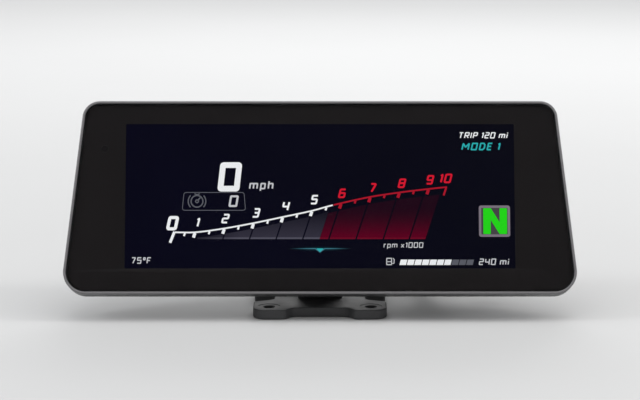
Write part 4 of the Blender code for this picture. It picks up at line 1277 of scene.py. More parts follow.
# Pan head with a small seat flange.
SEAT_Y, CROWN_Y, SEAT_R, CROWN_R = 17.42, 19.9, 2.6, 1.5
head = [(0, SEAT_Y), (SEAT_R - 0.12, SEAT_Y), (SEAT_R, SEAT_Y + 0.1), (SEAT_R, SEAT_Y + 0.42)]
head.append((SEAT_R - 0.1, SEAT_Y + 0.6))
for k in range(1, 9):
    angle = math.pi / 2 * k / 8
    head.append((CROWN_R + (SEAT_R - 0.1 - CROWN_R) * math.cos(angle),
                 SEAT_Y + (0.6 + (CROWN_Y - SEAT_Y - 0.6) * math.sin(angle))))
head.append((0, CROWN_Y))
case_screw = turned(head, (0, 0))
DRIVE_R, DRIVE_MOUTH, DRIVE_TOP = 1.22, 0.12, 20.05
cut(case_screw, loft([
    (lobes(DRIVE_R), 18.3),
    (lobes(DRIVE_R), DRIVE_TOP - DRIVE_MOUTH),
    (lobes(DRIVE_R + DRIVE_MOUTH), DRIVE_TOP),
]))
join(case_screw, thread(1.32, 0.24, 0.8, head_y=17.5, tip_y=6.7, taper=0.9))
for i, at in enumerate(SCREWS):
    piece(posed(put(case_screw.data.copy()), at, 0.9 * i), f"case_screw_{i + 1}", "zinc_steel",
          replaces=f"housing_screw_{i + 1}", smooth=28)
bpy.data.objects.remove(case_screw, do_unlink=True)

# ---------------------------------------------------------------- rear housing
# Section of the drafted body and its flange, as (inset, y).
shell = [(1, 14.3), (0.62, 14.42), (0.5, 14.75), (0.5, 16.75)]
shell += arc((1, 16.8), 0.5, 180, 90, 5)[1:]
for degrees in (0, 15, 30, 45, 60, 75, 88):
    angle = math.radians(degrees)
    shell.append((7.58 + 1.9 * math.sin(angle), 19.22 - 1.9 * math.cos(angle)))
shell += [(9.55, 21), (9.62, 23.1)]
shell += arc((11.5, 23.15), 1.85, 180, 90, 8)[1:]
rear = loft([(cluster_outline(i), y) for i, y in shell])

# Fins: filleted at the root, drafted, rounded over at the tip and both ends.
# Columns: y, extra half thickness, extra length at each end.
FIN_LEVELS = [
    (24.4, 1.5, 2.1), (25, 1.25, 1.75), (25.25, 0.72, 1.2), (25.6, 0.38, 0.8),
    (26.1, 0.14, 0.45), (26.9, 0, 0.1), (28.5, -0.10, -0.3), (30.2, -0.20, -0.9),
    (31.4, -0.27, -1.6), (32.4, -0.33, -2.7), (33.1, -0.38, -3.9), (33.55, -0.47, -5),
    (33.82, -0.62, -6), (34, -0.92, -7.2),
]
FIN_HALF, FIN_PITCH = 1.2, 8.6


def fin(x):
    levels = []
    for y, wider, longer in FIN_LEVELS:
        half = FIN_HALF + wider
        ends = (-26 - longer, 40 + longer)
        levels.append((box_outline(around(x, half), ends, max(0.1, half * 0.92), 5), y))
    return loft(levels)


fins = [fin(-86 + FIN_PITCH * k + FIN_HALF) for k in range(14)]

# Mount bosses (radius, y), each with ribs standing round it.
BOSS = [
    (0, 24), (11.2, 24), (11.2, 24.95), (10.2, 25.12), (9.35, 25.5), (8.75, 26.1), (8.35, 27),
    (8.2, 28.2), (7.95, 36.9), (7.75, 37.3), (7.35, 37.5), (0, 37.5),
]
BOSS_RIB = [(6, 24.2), (15.6, 24.2), (15.2, 25.6), (13.4, 27.2), (9, 34.6), (6, 34.6)]
bosses = []
for tag, at in MOUNTS.items():
    bosses.append(turned(BOSS, at, n=64))
    for degrees in (0, 180) if tag == "lower" else (45, 135, 225, 315):
        rib = sheet([BOSS_RIB], (-0.9, 0.9), axis="z", bevel=0.35, angle=30)
        bosses.append(posed(rib, at, math.radians(degrees)))

# Gussets between the body's wall and the flange, clear of the screw heads.
# Columns: y, distance in from the edge.
GUSSET_LONG = [(17.1, 2.6), (17.6, 2.6), (18.3, 3.6), (22.8, 9), (23.4, 10.4), (17.1, 10.4)]
GUSSET_SIDE = [(17.1, 2.8), (17.6, 2.8), (18.3, 3.8), (22.8, 9.2), (23.4, 10.7), (17.1, 10.7)]
gussets = []
for side in (-1, 1):
    edge = TOP if side > 0 else BOTTOM
    loop = [(y, edge - side * inward) for y, inward in GUSSET_LONG]
    for x in (-124, -97, -46, -18, 18, 46, 97, 124):
        gussets.append(sheet([loop], around(x, 0.85), axis="x", bevel=0.3, angle=30))
for side in (-1, 1):
    for z in (48, 11, -7, -49):
        edge = HALF_WIDTH - FLARE * z
        loop = [(side * (edge - inward), y) for y, inward in GUSSET_SIDE]
        gussets.append(sheet([loop], around(z, 0.85), axis="z", bevel=0.3, angle=30))
join(rear, *fins)
join(rear, *bosses, *gussets)


def raised(outer, inner, top):
    """A raised rim on the housing's back."""
    return sheet([outer, inner], (BACK - 0.6, top), bevel=0.28, angle=40)


def plug_box(half_x, half_z, radius, seg):
    return box_outline(around(PLUG_X, half_x), around(PLUG_Z, half_z), radius, seg)


def aerial_box(half_x, half_z, radius, seg):
    return box_outline(around(AERIAL_X, half_x), around(AERIAL_Z, half_z), radius, seg)


join(
    rear,
    raised(plug_box(25.4, 14.4, 4.5, 10), plug_box(22.6, 11.6, 1.6, 10), BACK + 1.1),
    raised(aerial_box(9.3, 10.8, 3, 10), aerial_box(6.9, 8.4, 1, 10), BACK + 1.1),
    raised(circle(VENT, 9.2, 64), circle(VENT, 5, 64), BACK + 0.1),
)

# Hollow the body and cut the channel for the frame's inner wall.
CAVITY = [(11.8, 12), (11.9, 20.6), (12.3, 21.8), (13.4, 22.4)]
CHANNEL = [(6.6, 13), (8.6, 13), (8.6, 15.5), (8.4, 15.7), (6.8, 15.7), (6.6, 15.5)]
cavity = loft([(cluster_outline(i, 16), y) for i, y in CAVITY])
cut(rear, cavity, edge_ring(CHANNEL, 16))
# A pad under the back, and posts.
join(rear, block((-40, 0), (19.2, 23), (-12, 24), 0.5, 2))
POST = [(0, 13.75), (2.9, 13.75), (3.3, 14.1), (3.6, 20.8), (4.2, 22), (5, 22.9), (0, 22.9)]
join(rear, *[turned(POST, at, n=32) for at in POSTS])

POST_BORE = [(0, 12.6), (1.9, 12.6), (1.9, 13.9), (1.45, 14.4), (1.45, 20.9), (0, 20.9)]
MOUNT_BORE = [(0, 26.5), (2.6, 26.8), (2.6, 36.6), (3.3, 37.3), (3.3, 39.5), (0, 39.5)]
FLANGE_BORE = [
    (0, 13.3), (2.3, 13.3), (2.3, 14.4), (1.8, 14.9), (1.8, 16.8), (2.2, 17.25), (2.2, 18.3),
    (0, 18.3),
]
holes = [turned(POST_BORE, at, n=28) for at in POSTS]
holes += [turned(MOUNT_BORE, at, n=36) for at in MOUNTS.values()]
holes += [turned(FLANGE_BORE, at, n=32) for at in SCREWS]
holes.append(sheet([plug_box(22.6, 11.6, 1.6, 8)], (20, 30)))
holes.append(sheet([aerial_box(6.9, 8.4, 1, 8)], (20, 30)))
holes.append(rod(5, VENT, (20, 30), n=64))
cut(rear, *holes)

# Shallow marks of the mould: the sunken label seat, ejector pins, a dial insert without figures.
EJECTORS = [
    (-131, 8), (-131, -42), (-96, -46), (38, -46), (112, -44), (140, 12), (46, 43),
    (-60, 46.6), (90, 46), (141, -40),
]
EJECTOR = [(0, BACK - 0.16), (2.9, BACK - 0.16), (3.1, BACK + 0.5), (0, BACK + 0.5)]
label_seat = box_outline((-80.6, -29.4), (-47.6, -30.4), 2.2, 8)
marks = [sheet([label_seat], (BACK - 0.35, BACK + 2))]
cut(rear, *marks, *[turned(EJECTOR, at, n=40) for at in EJECTORS])
DIAL = DIAL_X, DIAL_Z = (62, 31)
RING_CUT, LINE_CUT = (BACK - 0.3, BACK + 0.5), (BACK - 0.25, BACK + 0.5)
dial = [groove((4.6, 5), RING_CUT, DIAL, 48), groove((2.2, 2.5), RING_CUT, DIAL, 40)]
for ends in zip(circle(DIAL, 3.1, 12), circle(DIAL, 4, 12)):
    dial.append(stroke(ends, 0.35, span=LINE_CUT))
dial.append(stroke([(DIAL_X - 1.3, DIAL_Z - 1), (DIAL_X + 1.3, DIAL_Z + 1)], 0.4, span=LINE_CUT))
cut(rear, *dial)
piece(rear, "rear_casting", "housing_cast", replaces="rear_housing", smooth=36)

label = box_outline((-80, -30), (-47, -31), 2, 8)
piece(sheet([label], (BACK - 0.30, BACK - 0.12), bevel=0.05, seg=2), "blank_label",
      "label_plate", smooth=50)

# ---------------------------------------------------------------- pressure vent
# Round cap (radius, y) with slots in its skirt, a ring groove and a short slot in its top.
VENT_CAP = [
    (0, 21), (3.6, 21), (4.5, 21.9), (4.7, 22.4), (4.7, 25.12), (6.3, 25.14), (6.5, 25.3),
    (6.5, 26.9), (6.35, 27.35), (5.95, 27.75), (5.2, 28.15), (4.2, 28.35), (2.2, 28.42),
    (1.9, 28.6), (0, 28.6),
]
vent = turned(VENT_CAP, VENT, n=96)
slots = []
for k in range(12):
    slot = block((4.9, 7.2), (25.7, 26.9), (-0.62, 0.62), 0.25, 2)
    slots.append(posed(slot, VENT, 2 * math.pi * k / 12))
slots.append(groove((2.5, 3.3), (28.1, 29), VENT, 64))
slots.append(block(around(VENT[0], 0.5), (28.25, 29), around(VENT[1], 1.5), 0.15, 2))
cut(vent, *slots)
piece(vent, "vent_cap", "connector_plastic", replaces="pressure_vent", smooth=34)

# ---------------------------------------------------------------- main header
header = sheet([plug_box(HEADER_X, HEADER_Z, 2, 10)], (21, 40), bevel=0.3)
flange = plug_box(HEADER_X + 3.6, HEADER_Z + 3.6, 1.2, 6)
join(header, sheet([flange], (19.6, 21.4), bevel=0.2, seg=2))
join(header, block(around(PLUG_X, HEADER_X - 2), (13.75, 20.4), around(PLUG_Z, HEADER_Z - 3),
                   0.4, 2))
# Cam studs on both ends: (radius, distance from the middle).
STUD = [
    (0, 20.6), (2.4, 20.6), (2.4, 21.95), (2.2, 22.15), (1.8, 22.3), (1.8, 26.9), (1.4, 27.3),
    (0, 27.3),
]
half_turn = (
    Matrix.Translation(Vector((PLUG_X, 0, 0)) * MM)
    @ Matrix.Rotation(math.pi, 4, "Z")
    @ Matrix.Translation(Vector((-PLUG_X, -2 * STUD_Y, 0)) * MM)
)
for side in (-1, 1):
    stud = turned([(r, PLUG_X + out) for r, out in STUD], (STUD_Y, PLUG_Z), axis="x")
    if side < 0:
        moved(stud, half_turn)
    join(header, stud)
cut(header, sheet([plug_box(HEADER_X - 2, HEADER_Z - 2, 1, 8)], (26.8, 45)))
# Keys on the long walls' inner faces.
for x, side in ((-12, 1), (12, 1), (6, -1)):
    key_z = sided(side, 8.4, 9.15, PLUG_Z)
    join(header, block(around(PLUG_X + x, 0.8), (26.5, 33.2), key_z, 0.15, 2))
piece(header, "header_moulding", "connector_plastic", replaces="main_header", smooth=34)

# Contacts: a plate with sixteen blades, each pointed at its tip.
contacts = block(around(PLUG_X, HEADER_X - 2.3), (26.9, 28.1), around(PLUG_Z, HEADER_Z - 2.3),
                 0.15, 2)
for x, z in WAYS:
    at = (PLUG_X + x, PLUG_Z + z)
    join(contacts, loft([
        (square(at, 0.4, 0.08), 27.4), (square(at, 0.4, 0.08), 35.3),
        (square(at, 0.16, 0.04), 36.5),
    ]))
piece(contacts, "header_contacts", "contact", replaces="pin_insert", smooth=34)

# ---------------------------------------------------------------- harness plug
# From here to the harness tie, Y counts from the lever's pivot (see PLUG_SPACE).
REACH = PIVOT_Y - STUD_Y  # from the stud, plug seated, to the pivot
PLUG_HALF = 24.5


def centred(half_x, half_z, radius, seg):
    return box_outline(around(0, half_x), around(0, half_z), radius, seg)


plug = sheet([centred(PLUG_HALF, 13.5, 2.5, 12)], (-11.5, 5), bevel=0.35)
cut(plug, sheet([centred(22.45, 11.45, 2, 8)], (-20, 3)))
join(plug, sheet([centred(PLUG_HALF, 11, 2.4, 12)], (2, 16), bevel=0.9, seg=5))
join(plug, sheet([centred(18.6, 7.6, 1.5, 6)], (-10.5, 3), bevel=0.25, seg=2))
# Ringed outlet under the back, as (radius, z).
OUTLET_Y = 9.5
OUTLET = [
    (0, -16.5), (6.2, -16.5), (6.2, -15.7), (5.7, -15.4), (5.7, -14.6), (6.2, -14.3),
    (6.2, -13.4), (5.7, -13.1), (5.7, -12.4), (6.2, -12.1), (6.2, -8.5), (0, -8.5),
]
join(plug, turned(OUTLET, (0, OUTLET_Y), axis="z", n=56))
PIVOT_R = 2.2
for low, high in ((23.2, 28.3), (-28.3, -23.2)):
    pin = [
        (0, low), (PIVOT_R - 0.3, low), (PIVOT_R, low + 0.3),
        (PIVOT_R, high - 0.3), (PIVOT_R - 0.3, high), (0, high),
    ]
    join(plug, turned(pin, (0, 0), axis="x", n=56))
# Slots that let the header's studs in: (y, z), round at the back.
STUD_SLOT_R = 2.15
stud_slot = [(-15, -STUD_SLOT_R), (-REACH, -STUD_SLOT_R)]
for angle in [math.radians(d) for d in range(10, 180, 10)]:
    stud_slot.append((-REACH + STUD_SLOT_R * math.sin(angle), -STUD_SLOT_R * math.cos(angle)))
stud_slot += [(-REACH, STUD_SLOT_R), (-15, STUD_SLOT_R)]
for side in (-1, 1):
    cut(plug, sheet([stud_slot], sided(side, 20.5, 26.5), axis="x"))
# Grip ribs on the back's long sides, and raised rails on the skirt.
ribs = []
for k in range(9):
    x = -19.4 + 4.85 * k
    for side, clear in ((-1, 7.5), (1, 6.5)):
        if abs(x) >= clear:
            ribs.append(block(around(x, 0.8), (7, 14.2), sided(side, 10.6, 11.55), 0.3, 3))
for x in (-15, -11.8, 11.8, 15):
    for side in (1, -1):
        ribs.append(block(around(x, 0.55), (-10.4, 4.4), sided(side, 13.2, 13.95), 0.22, 3))
join(plug, *ribs)
# Contact ways, open at the nose with a wider mouth: (half size, radius, y).
WAY_LEVELS = [(1.1, 0.2, -1), (1.1, 0.2, -9.8), (1.5, 0.3, -10.7), (1.5, 0.3, -13)]
cut(plug, *[loft([(square(at, half, r), y) for half, r, y in WAY_LEVELS]) for at in WAYS])
cut(plug, block((-4.3, 4.3), (4, 20), (9.2, 12)))
# Two shallow recesses in the back, crossed by ribs.
for span in ((-20.5, -7), (7, 20.5)):
    cut(plug, sheet([box_outline(span, (-7.4, 6.6), 1.6)], (15.3, 17)))
for_recess = [-16, -11.5, 11.5, 16]
join(plug, *[block(around(x, 0.6), (14.6, 15.95), (-7.6, 6.8), 0.2, 2) for x in for_recess])
piece(plug, "plug_moulding", "connector_plastic", body="plug", replaces="harness_plug", smooth=34)

# Ring seal round the plug's nose, with three lips: (height off the nose, y).
SEAL = [
    (0, -5.85), (0.15, -6), (0.75, -6), (1.05, -5.65), (1.05, -5.3), (0.7, -4.85),
    (0.7, -4.55), (1.05, -4.1), (1.05, -3.5), (0.7, -3.05), (0.7, -2.75), (1.05, -2.3),
    (1.05, -1.75), (0.75, -1.4), (0.15, -1.4), (0, -1.55),
]
seal = loft([(centred(18.75 + e, 7.75 + e, 1.5, 8), y) for e, y in SEAL], ring=True)
piece(seal, "plug_ring_seal", "silicone", body="plug", replaces="plug_seal")

# ---------------------------------------------------------------- cam lever
CAM_RISE, SWING = 6.5, math.radians(70)
CAM_WIDTH = 4.4


def spiral(angle, extra=0):
    """(y, z) on the cam's spiral round the pivot."""
    radius = REACH + CAM_RISE * angle + extra
    return (-radius * math.cos(angle), radius * math.sin(angle))


def ribbon(path, width):
    """The outline of an even-width strip along path."""
    left, right = [], []
    for i, p in enumerate(path):
        before, after = Vector(path[max(i - 1, 0)]), Vector(path[min(i + 1, len(path) - 1)])
        ahead = (after - before).normalized()
        normal = Vector((-ahead.y, ahead.x)) * width / 2
        left.append((p[0] + normal.x, p[1] + normal.y))
        right.append((p[0] - normal.x, p[1] - normal.y))
    return left + right[::-1]


def cut_corners(points, rounds=2):
    """Smooth a closed outline by cutting each side at its quarters."""
    for _ in range(rounds):
        smoother = []
        for (a0, b0), (a1, b1) in zip(points, points[1:] + points[:1]):
            smoother.append((0.75 * a0 + 0.25 * a1, 0.75 * b0 + 0.25 * b1))
            smoother.append((0.25 * a0 + 0.75 * a1, 0.25 * b0 + 0.75 * b1))
        points = smoother
    return points


cheek = [spiral(SWING * k / 10, 4.3) for k in range(11)]
cheek += [
    (-2, 18.6), (5.2, 16.6), (9.5, 11), (14, 5.4), (26.2, 5.4), (26.2, -4.6), (10.5, -5.6),
    (5, -7.6), (-2, -8.2), (-7.4, -6.4), (-10.2, -3.2),
]
cheek = cut_corners(cheek)
lever = block((-27.4, 27.4), (21.6, 26), (-4.4, 9), 1.3, 6)
for side in (-1, 1):
    join(lever, sheet([cheek], sided(side, 24.95, 27.75), axis="x", bevel=0.3, angle=40))
# Raised grip bars across the back, and pockets in the bar's front.
grip = []
for k in range(6):
    grip.append(block((-16, 16), (25.6, 26.18), around(-2.9 + 2.05 * k, 0.42), 0.2, 3))
join(lever, *grip)
pockets = []
for k in range(5):
    x = -22.6 + k * 9.3
    pockets.append(sheet([box_outline((x, x + 8), (-3, 7.6), 1, 5)], (21, 23.4)))
cut(lever, *pockets)
# Lightening pockets on each cheek's outer face, between the pivot and the bar.
CHEEK_POCKET = [
    (9, -3.4, 1.4), (20.6, -3, 1.4), (20.6, 3.7, 1.4), (13.6, 3.7, 2), (9.4, 8.3, 1.4),
]
for side in (-1, 1):
    cut(lever, sheet([rounded(CHEEK_POCKET, 6)], sided(side, 27.05, 28.5), axis="x"))
# Cam slots for the header's studs, open at their outer end, and the pivot's bores.
cam_path = [spiral(SWING * k / 24) for k in range(25)]
cam_exit = [spiral(SWING), spiral(SWING, 8)]
cam_cuts = []
for side in (-1, 1):
    span = sided(side, 24, 29)
    cam_cuts += [sheet([ribbon(path, CAM_WIDTH)], span, axis="x") for path in (cam_path, cam_exit)]
    cam_cuts.append(rod(CAM_WIDTH / 2, (-REACH, 0), span, 48, axis="x"))
    cam_cuts.append(rod(2.25, spiral(SWING), span, 48, axis="x"))
    cam_cuts.append(rod(2.36, (0, 0), span, 56, axis="x"))
cut(lever, *cam_cuts)
piece(lever, "cam_lever", "lever_plastic", body="lever", replaces="plug_lever", smooth=34)

# Lever lock: a rail in its way, and a pad with serrations.
lock = block((-4, 4), (7.2, 14.5), (9.4, 11.2), 0.15, 2)
join(lock, block((-5.5, 5.5), (8.5, 14), (11.15, 13.3), 0.45, 4))
serrations = [(9.15 + 0.95 * k, 9.6 + 0.95 * k) for k in range(5)]
join(lock, *[block((-4.6, 4.6), span, (13, 13.6), 0.15, 2) for span in serrations])
piece(lock, "lock_slider", "lock_plastic", body="lock", replaces="lever_lock", smooth=34)

# ---------------------------------------------------------------- harness
# A braid over the wires, cut back before its end so that they show.
HARNESS_STEP = 0.42
path = bezier((0, OUTLET_Y, -16.8), (0, OUTLET_Y, -24), (0, 12.5, -27), (-2, 24, -26), 9)
path += bezier((-2, 24, -26), (-3.6, 33, -25.2), (-6, 42, -20.5), (-8, 50, -17), 6)[1:]
run = resample(path, HARNESS_STEP)
braid_end = len(run) - int(6.5 / HARNESS_STEP)


def weave(angle, along):
    """The braid's radius: two crossing sets of strands."""
    one = angle * 9 / math.pi + along * 1.35
    other = angle * 9 / math.pi - along * 1.35
    over = math.sin(one) * math.sin(other)
    return 4.6 + (-0.24 + 0.2 * (0.5 + 0.5 * over) + 0.05 * math.sin(one * 3) * (over > 0))


def cross_axes(ahead):
    """Two directions square to ahead and to each other."""
    side = ahead.cross(Vector((0, 0, 1))).normalized()
    return side, side.cross(ahead)


piece(tube(run[:braid_end], weave, 108), "harness_braid", "cable", body="plug",
      replaces="harness_sleeve", smooth=60, weighted=False)
tail = run[braid_end - 6:]
tail_last = len(tail) - 1
spots = [(0, 0)]
for k in range(6):
    angle = math.radians(60 * k + 12)
    spots.append((2.55 * math.cos(angle), 2.55 * math.sin(angle)))
strands = []
for k, ((across, up), tint) in enumerate(zip(spots, WIRES)):
    line = []
    for i, p in enumerate(tail):
        ahead = (tail[min(i + 1, tail_last)] - tail[max(i - 1, 0)]).normalized()
        side_axis, up_axis = cross_axes(ahead)
        spread = 1 + 0.16 * max(0, i - 6) / max(1, tail_last - 6)
        line.append(p + side_axis * (across * spread) + up_axis * (up * spread))
    stripped = len(line) - 4 - (k % 3)
    piece(tube(line[:stripped], 1.12, 20), f"harness_wire_{k + 1}", tint, body="plug",
          smooth=50)
    bare = line[stripped - 1:]
    side_axis, up_axis = cross_axes((bare[-1] - bare[0]).normalized())
    for m in range(7):
        angle = math.pi / 3 * m
        off = 0 if m == 6 else 0.36
        shift_side = side_axis * (off * math.cos(angle))
        shift_up = up_axis * (off * math.sin(angle))
        strands.append(tube([p + shift_side + shift_up for p in bare], 0.19, 8))
piece(gather(strands), "harness_strands", "copper", body="plug", smooth=50)

# Tie round the sleeve near the outlet: a band with its square head and tail.
TIE = [(4.45, -1.2), (4.95, -1.2), (5, -1.1), (5, 1.1), (4.95, 1.2), (4.45, 1.2)]
tie = turned(TIE, (0, 0), axis="z", n=64, ring=True)
join(tie, block((4.7, 7.3), (-2.1, 2.1), (-1.9, 1.9), 0.35, 3))
cut(tie, block((5.3, 6.5), (-3, 3), (-1.2, 1.2), 0.1, 2))
join(tie, block((5.55, 6.25), (-1, 4.3), (-1.3, 1.3), 0.15, 2))
along_run = Vector((0, 0, 1)).rotation_difference((run[9] - run[7]).normalized())
moved(tie, Matrix.Translation(run[8] * MM) @ along_run.to_matrix().to_4x4())
piece(tie, "harness_tie", "connector_plastic", body="plug", smooth=34)

# ---------------------------------------------------------------- aerial connector
socket = sheet([aerial_box(6.5, 8, 1.5, 8)], (19.6, 36), bevel=0.35)
SOCKET_BORE = [(0, 24), (4.9, 24), (4.9, 35.4), (5.4, 36.2), (5.4, 38), (0, 38)]
cut(socket, turned(SOCKET_BORE, AERIAL, n=64))
join(socket, turned([(0, 23), (0.7, 23), (0.7, 31.4), (0.3, 32), (0, 32)], AERIAL, n=24))
for side in (-1, 1):
    span = sided(side, 6.2, 6.85, AERIAL_X)
    for z in (-2, 2):
        join(socket, block(span, (26.5, 34.8), around(AERIAL_Z + z, 0.6), 0.2, 2))
piece(socket, "aerial_socket", "coax_plastic", replaces="coax_socket", smooth=34)

NOSE = [(0, 27), (4.3, 27), (4.6, 27.3), (4.6, 37.5), (0, 37.5)]
STRAIN_RELIEF = [
    (0, 46), (3, 46), (3, 48.4), (2.5, 48.7), (2.5, 49.4), (2.95, 49.7), (2.95, 50.8),
    (2.4, 51.1), (2.4, 51.8), (2.8, 52.1), (2.8, 53.2), (2.2, 54), (0, 54),
]
aerial = turned(NOSE, AERIAL, n=64)
join(aerial, block(around(AERIAL_X, 6), (36.4, 47), around(AERIAL_Z, 7), 1.1, 5))
join(aerial, turned(STRAIN_RELIEF, AERIAL, n=56))
for side in (-1, 1):
    for k in range(5):
        y = 38.3 + 1.6 * k
        join(aerial, block(sided(side, 5.7, 6.35, AERIAL_X), (y, 39.1 + 1.6 * k),
                           around(AERIAL_Z, 5.2), 0.2, 2))
# A raised pad on top with a recess, and the bore in the nose.
join(aerial, block(around(AERIAL_X, 2.6), (37.4, 45.4), sided(1, 6.6, 7.7, AERIAL_Z), 0.35, 3))
cut(aerial, block(around(AERIAL_X, 1.7), (39, 43.8), sided(1, 7.25, 8.5, AERIAL_Z), 0.2, 2))
cut(aerial, rod(1.2, AERIAL, (26, 34), n=32))
piece(aerial, "aerial_plug", "coax_plastic", replaces="coax_plug", smooth=34)

# Aerial cable, stripped in steps at its end. Points: (x, z) from the plug, y from the glass.
AERIAL_RUN = [
    (0, 54.3, 0), (0, 64, -1), (-1, 67, -10), (-6, 66, -20),
    (-9, 65.5, -26), (-15, 65, -32), (-22, 65, -36),
]
stations = [(AERIAL_X + x, y, AERIAL_Z + z) for x, y, z in AERIAL_RUN]
path = bezier(*stations[:4], 9) + bezier(*stations[3:], 5)[1:]
line = resample(path, 0.6)


def screen_radius(angle, along):
    one, other = angle * 12 + along * 7, angle * 12 - along * 7
    return 1.22 + (-0.07 + 0.07 * math.sin(one) * math.sin(other))


piece(tube(line[:-7], 1.6, 40), "aerial_cable", "cable", replaces="coax_cable", smooth=50)
piece(tube(line[-8:-3], screen_radius, 40), "aerial_screen", "zinc_steel",
      smooth=60)
piece(tube(line[-4:-1], 0.8, 28), "aerial_insulator", "wire_white", smooth=50)
core_tip = line[-1] + (line[-1] - line[-2]).normalized() * 0.8
piece(tube(line[-2:] + [core_tip], 0.26, 16), "aerial_core", "copper", smooth=50)

# ---------------------------------------------------------------- rubber mounts
# Sections as (radius, y).
GROMMET = [
    (4.7, 49.5), (5, 49.8), (6.3, 49.8), (6.5, 49.55), (7.1, 49.55), (7.3, 49.8), (8.4, 49.8),
    (8.6, 49.55), (8.95, 49.55), (9.3, 49.72), (9.75, 49.4), (10, 48.9), (10, 47.3),
    (9.8, 46.95), (9.4, 46.85), (7.2, 46.82), (6.78, 46.6), (6.75, 46.2), (6.75, 41.8),
    (6.78, 41.4), (7.2, 41.2), (9.4, 41.15), (9.8, 41.05), (10, 40.7), (10, 39.1), (9.75, 38.6),
    (9.3, 38.28), (8.95, 38.45), (8.6, 38.45), (8.4, 38.2), (7.3, 38.2), (7.1, 38.45),
    (6.5, 38.45), (6.3, 38.2), (5, 38.2), (4.7, 38.5),
]
SLEEVE = [
    (2.95, 49.9), (3.2, 50.2), (4.2, 50.2), (4.5, 49.9), (4.5, 38.1), (4.2, 37.8), (3.2, 37.8),
    (2.95, 38.1),
]
BOLT = [
    (0, 29.4), (2.46, 29.4), (2.46, 50.36), (7.2, 50.36), (7.6, 50.6), (7.62, 50.95),
    (7.4, 51.3), (6.4, 51.75), (4.9, 52.15), (4.35, 52.5), (4.25, 53), (4.25, 54.7),
    (4.1, 55.2), (3.7, 55.5), (3.2, 55.6), (0, 55.6),
]
bolt = turned(BOLT, (0, 0), n=72)
HEX_R = 2.2 / math.cos(math.radians(30))
HEX_LEVELS = [(HEX_R, 52.9), (HEX_R, 55.25), (HEX_R * 1.13, 55.9)]
cut(bolt, loft([(circle((0, 0), radius, 6), y) for radius, y in HEX_LEVELS]))
cut(bolt, turned([(0, 52.2), (2.1, 53), (0, 53)], (0, 0), n=40))
join(bolt, thread(2.5, 0.3, 0.9, head_y=36.9, tip_y=28, taper=1, n=36))
for i, (tag, at) in enumerate(MOUNTS.items()):
    piece(turned(GROMMET, at, n=96, ring=True), f"rubber_grommet_{tag}", "rubber",
          replaces=f"grommet_{tag}", smooth=30)
    piece(turned(SLEEVE, at, n=64, ring=True), f"limit_sleeve_{tag}", "zinc_steel",
          replaces=f"spacer_sleeve_{tag}", smooth=30)
    piece(posed(put(bolt.data.copy()), at, 0.35 + 1.3 * i), f"flange_bolt_{tag}", "zinc_steel",
          replaces=f"mount_bolt_{tag}", smooth=28)
bpy.data.objects.remove(bolt, do_unlink=True)

# ---------------------------------------------------------------- bracket
# Beam and column in the cluster's axes, foot and its gussets in the world's.
EYE_FRONT, EYE_BACK, RIB_BACK = 41.5, 46.5, 52
FOOT_JOIN = -60.6  # z where the column meets the foot
BEAM_X, BEAM_Z = MOUNTS["right"]
COLUMN_X, BEAM_HALF = 14, 9
plate = rounded([
    (-COLUMN_X, FOOT_JOIN, 0), (COLUMN_X, FOOT_JOIN, 0), (COLUMN_X, 18, 9),
    (BEAM_X, BEAM_Z - BEAM_HALF, 4), (BEAM_X, BEAM_Z + BEAM_HALF, 4),
    (-BEAM_X, BEAM_Z + BEAM_HALF, 4), (-BEAM_X, BEAM_Z - BEAM_HALF, 4), (-COLUMN_X, 18, 9),
], 12)
bracket = sheet([plate], (EYE_FRONT, EYE_BACK), bevel=0.7, seg=4, angle=50)
# Eye section: (radius, distance in from the plate's face).
EYE_EDGE = [(0, -0.15), (12.2, -0.15), (12.65, 0.05), (12.95, 0.45), (13, 0.9)]
eye = [(radius, EYE_FRONT + inward) for radius, inward in EYE_EDGE]
eye += [(radius, EYE_BACK - inward) for radius, inward in EYE_EDGE[::-1]]
for tag in ("left", "right"):
    join(bracket, turned(eye, MOUNTS[tag], n=96))


def cast_rib(start, end, middle, half, along, fillet):
    """A rib on the bracket's back, along x or z: drafted sides, rounded top, filleted root."""
    # Columns: y, extra half width, how far its ends slope back.
    rows = [
        (EYE_BACK - 0.9, fillet, 0), (EYE_BACK - 0.02, fillet, 0),
        (EYE_BACK + 0.25, fillet * 0.5, 0.1), (EYE_BACK + 0.7, fillet * 0.2, 0.3),
        (EYE_BACK + 1.4, 0.05, 0.6), (RIB_BACK - 1.6, -0.12, 1.8), (RIB_BACK - 0.8, -0.18, 2.4),
        (RIB_BACK - 0.25, -0.35, 3.1), (RIB_BACK, -0.72, 4.2),
    ]
    levels = []
    for y, wider, slope in rows:
        width = half + wider
        low, high = around(middle, width)
        radius = max(0.12, width * 0.6)
        if along == "x":
            loop = box_outline((start + slope, end - slope), (low, high), radius, 4)
        else:  # a column rib runs on down into the foot, so only its top end slopes
            top = end - slope
            corners = [(low, start, 0), (high, start, 0), (high, top, radius), (low, top, radius)]
            loop = rounded(corners, 4)
        levels.append((loop, y))
    return loft(levels)


parts = [
    cast_rib(-99, 99, BEAM_Z + 7.1, 1.5, "x", 0.8),
    cast_rib(-98, -10, BEAM_Z - 5.1, 1.5, "x", 0.8),
    cast_rib(10, 98, BEAM_Z - 5.1, 1.5, "x", 0.8),
]
for side in (-1, 1):
    parts.append(cast_rib(FOOT_JOIN + 0.02, 36, side * 12.15, 1.3, "z", 0.15))
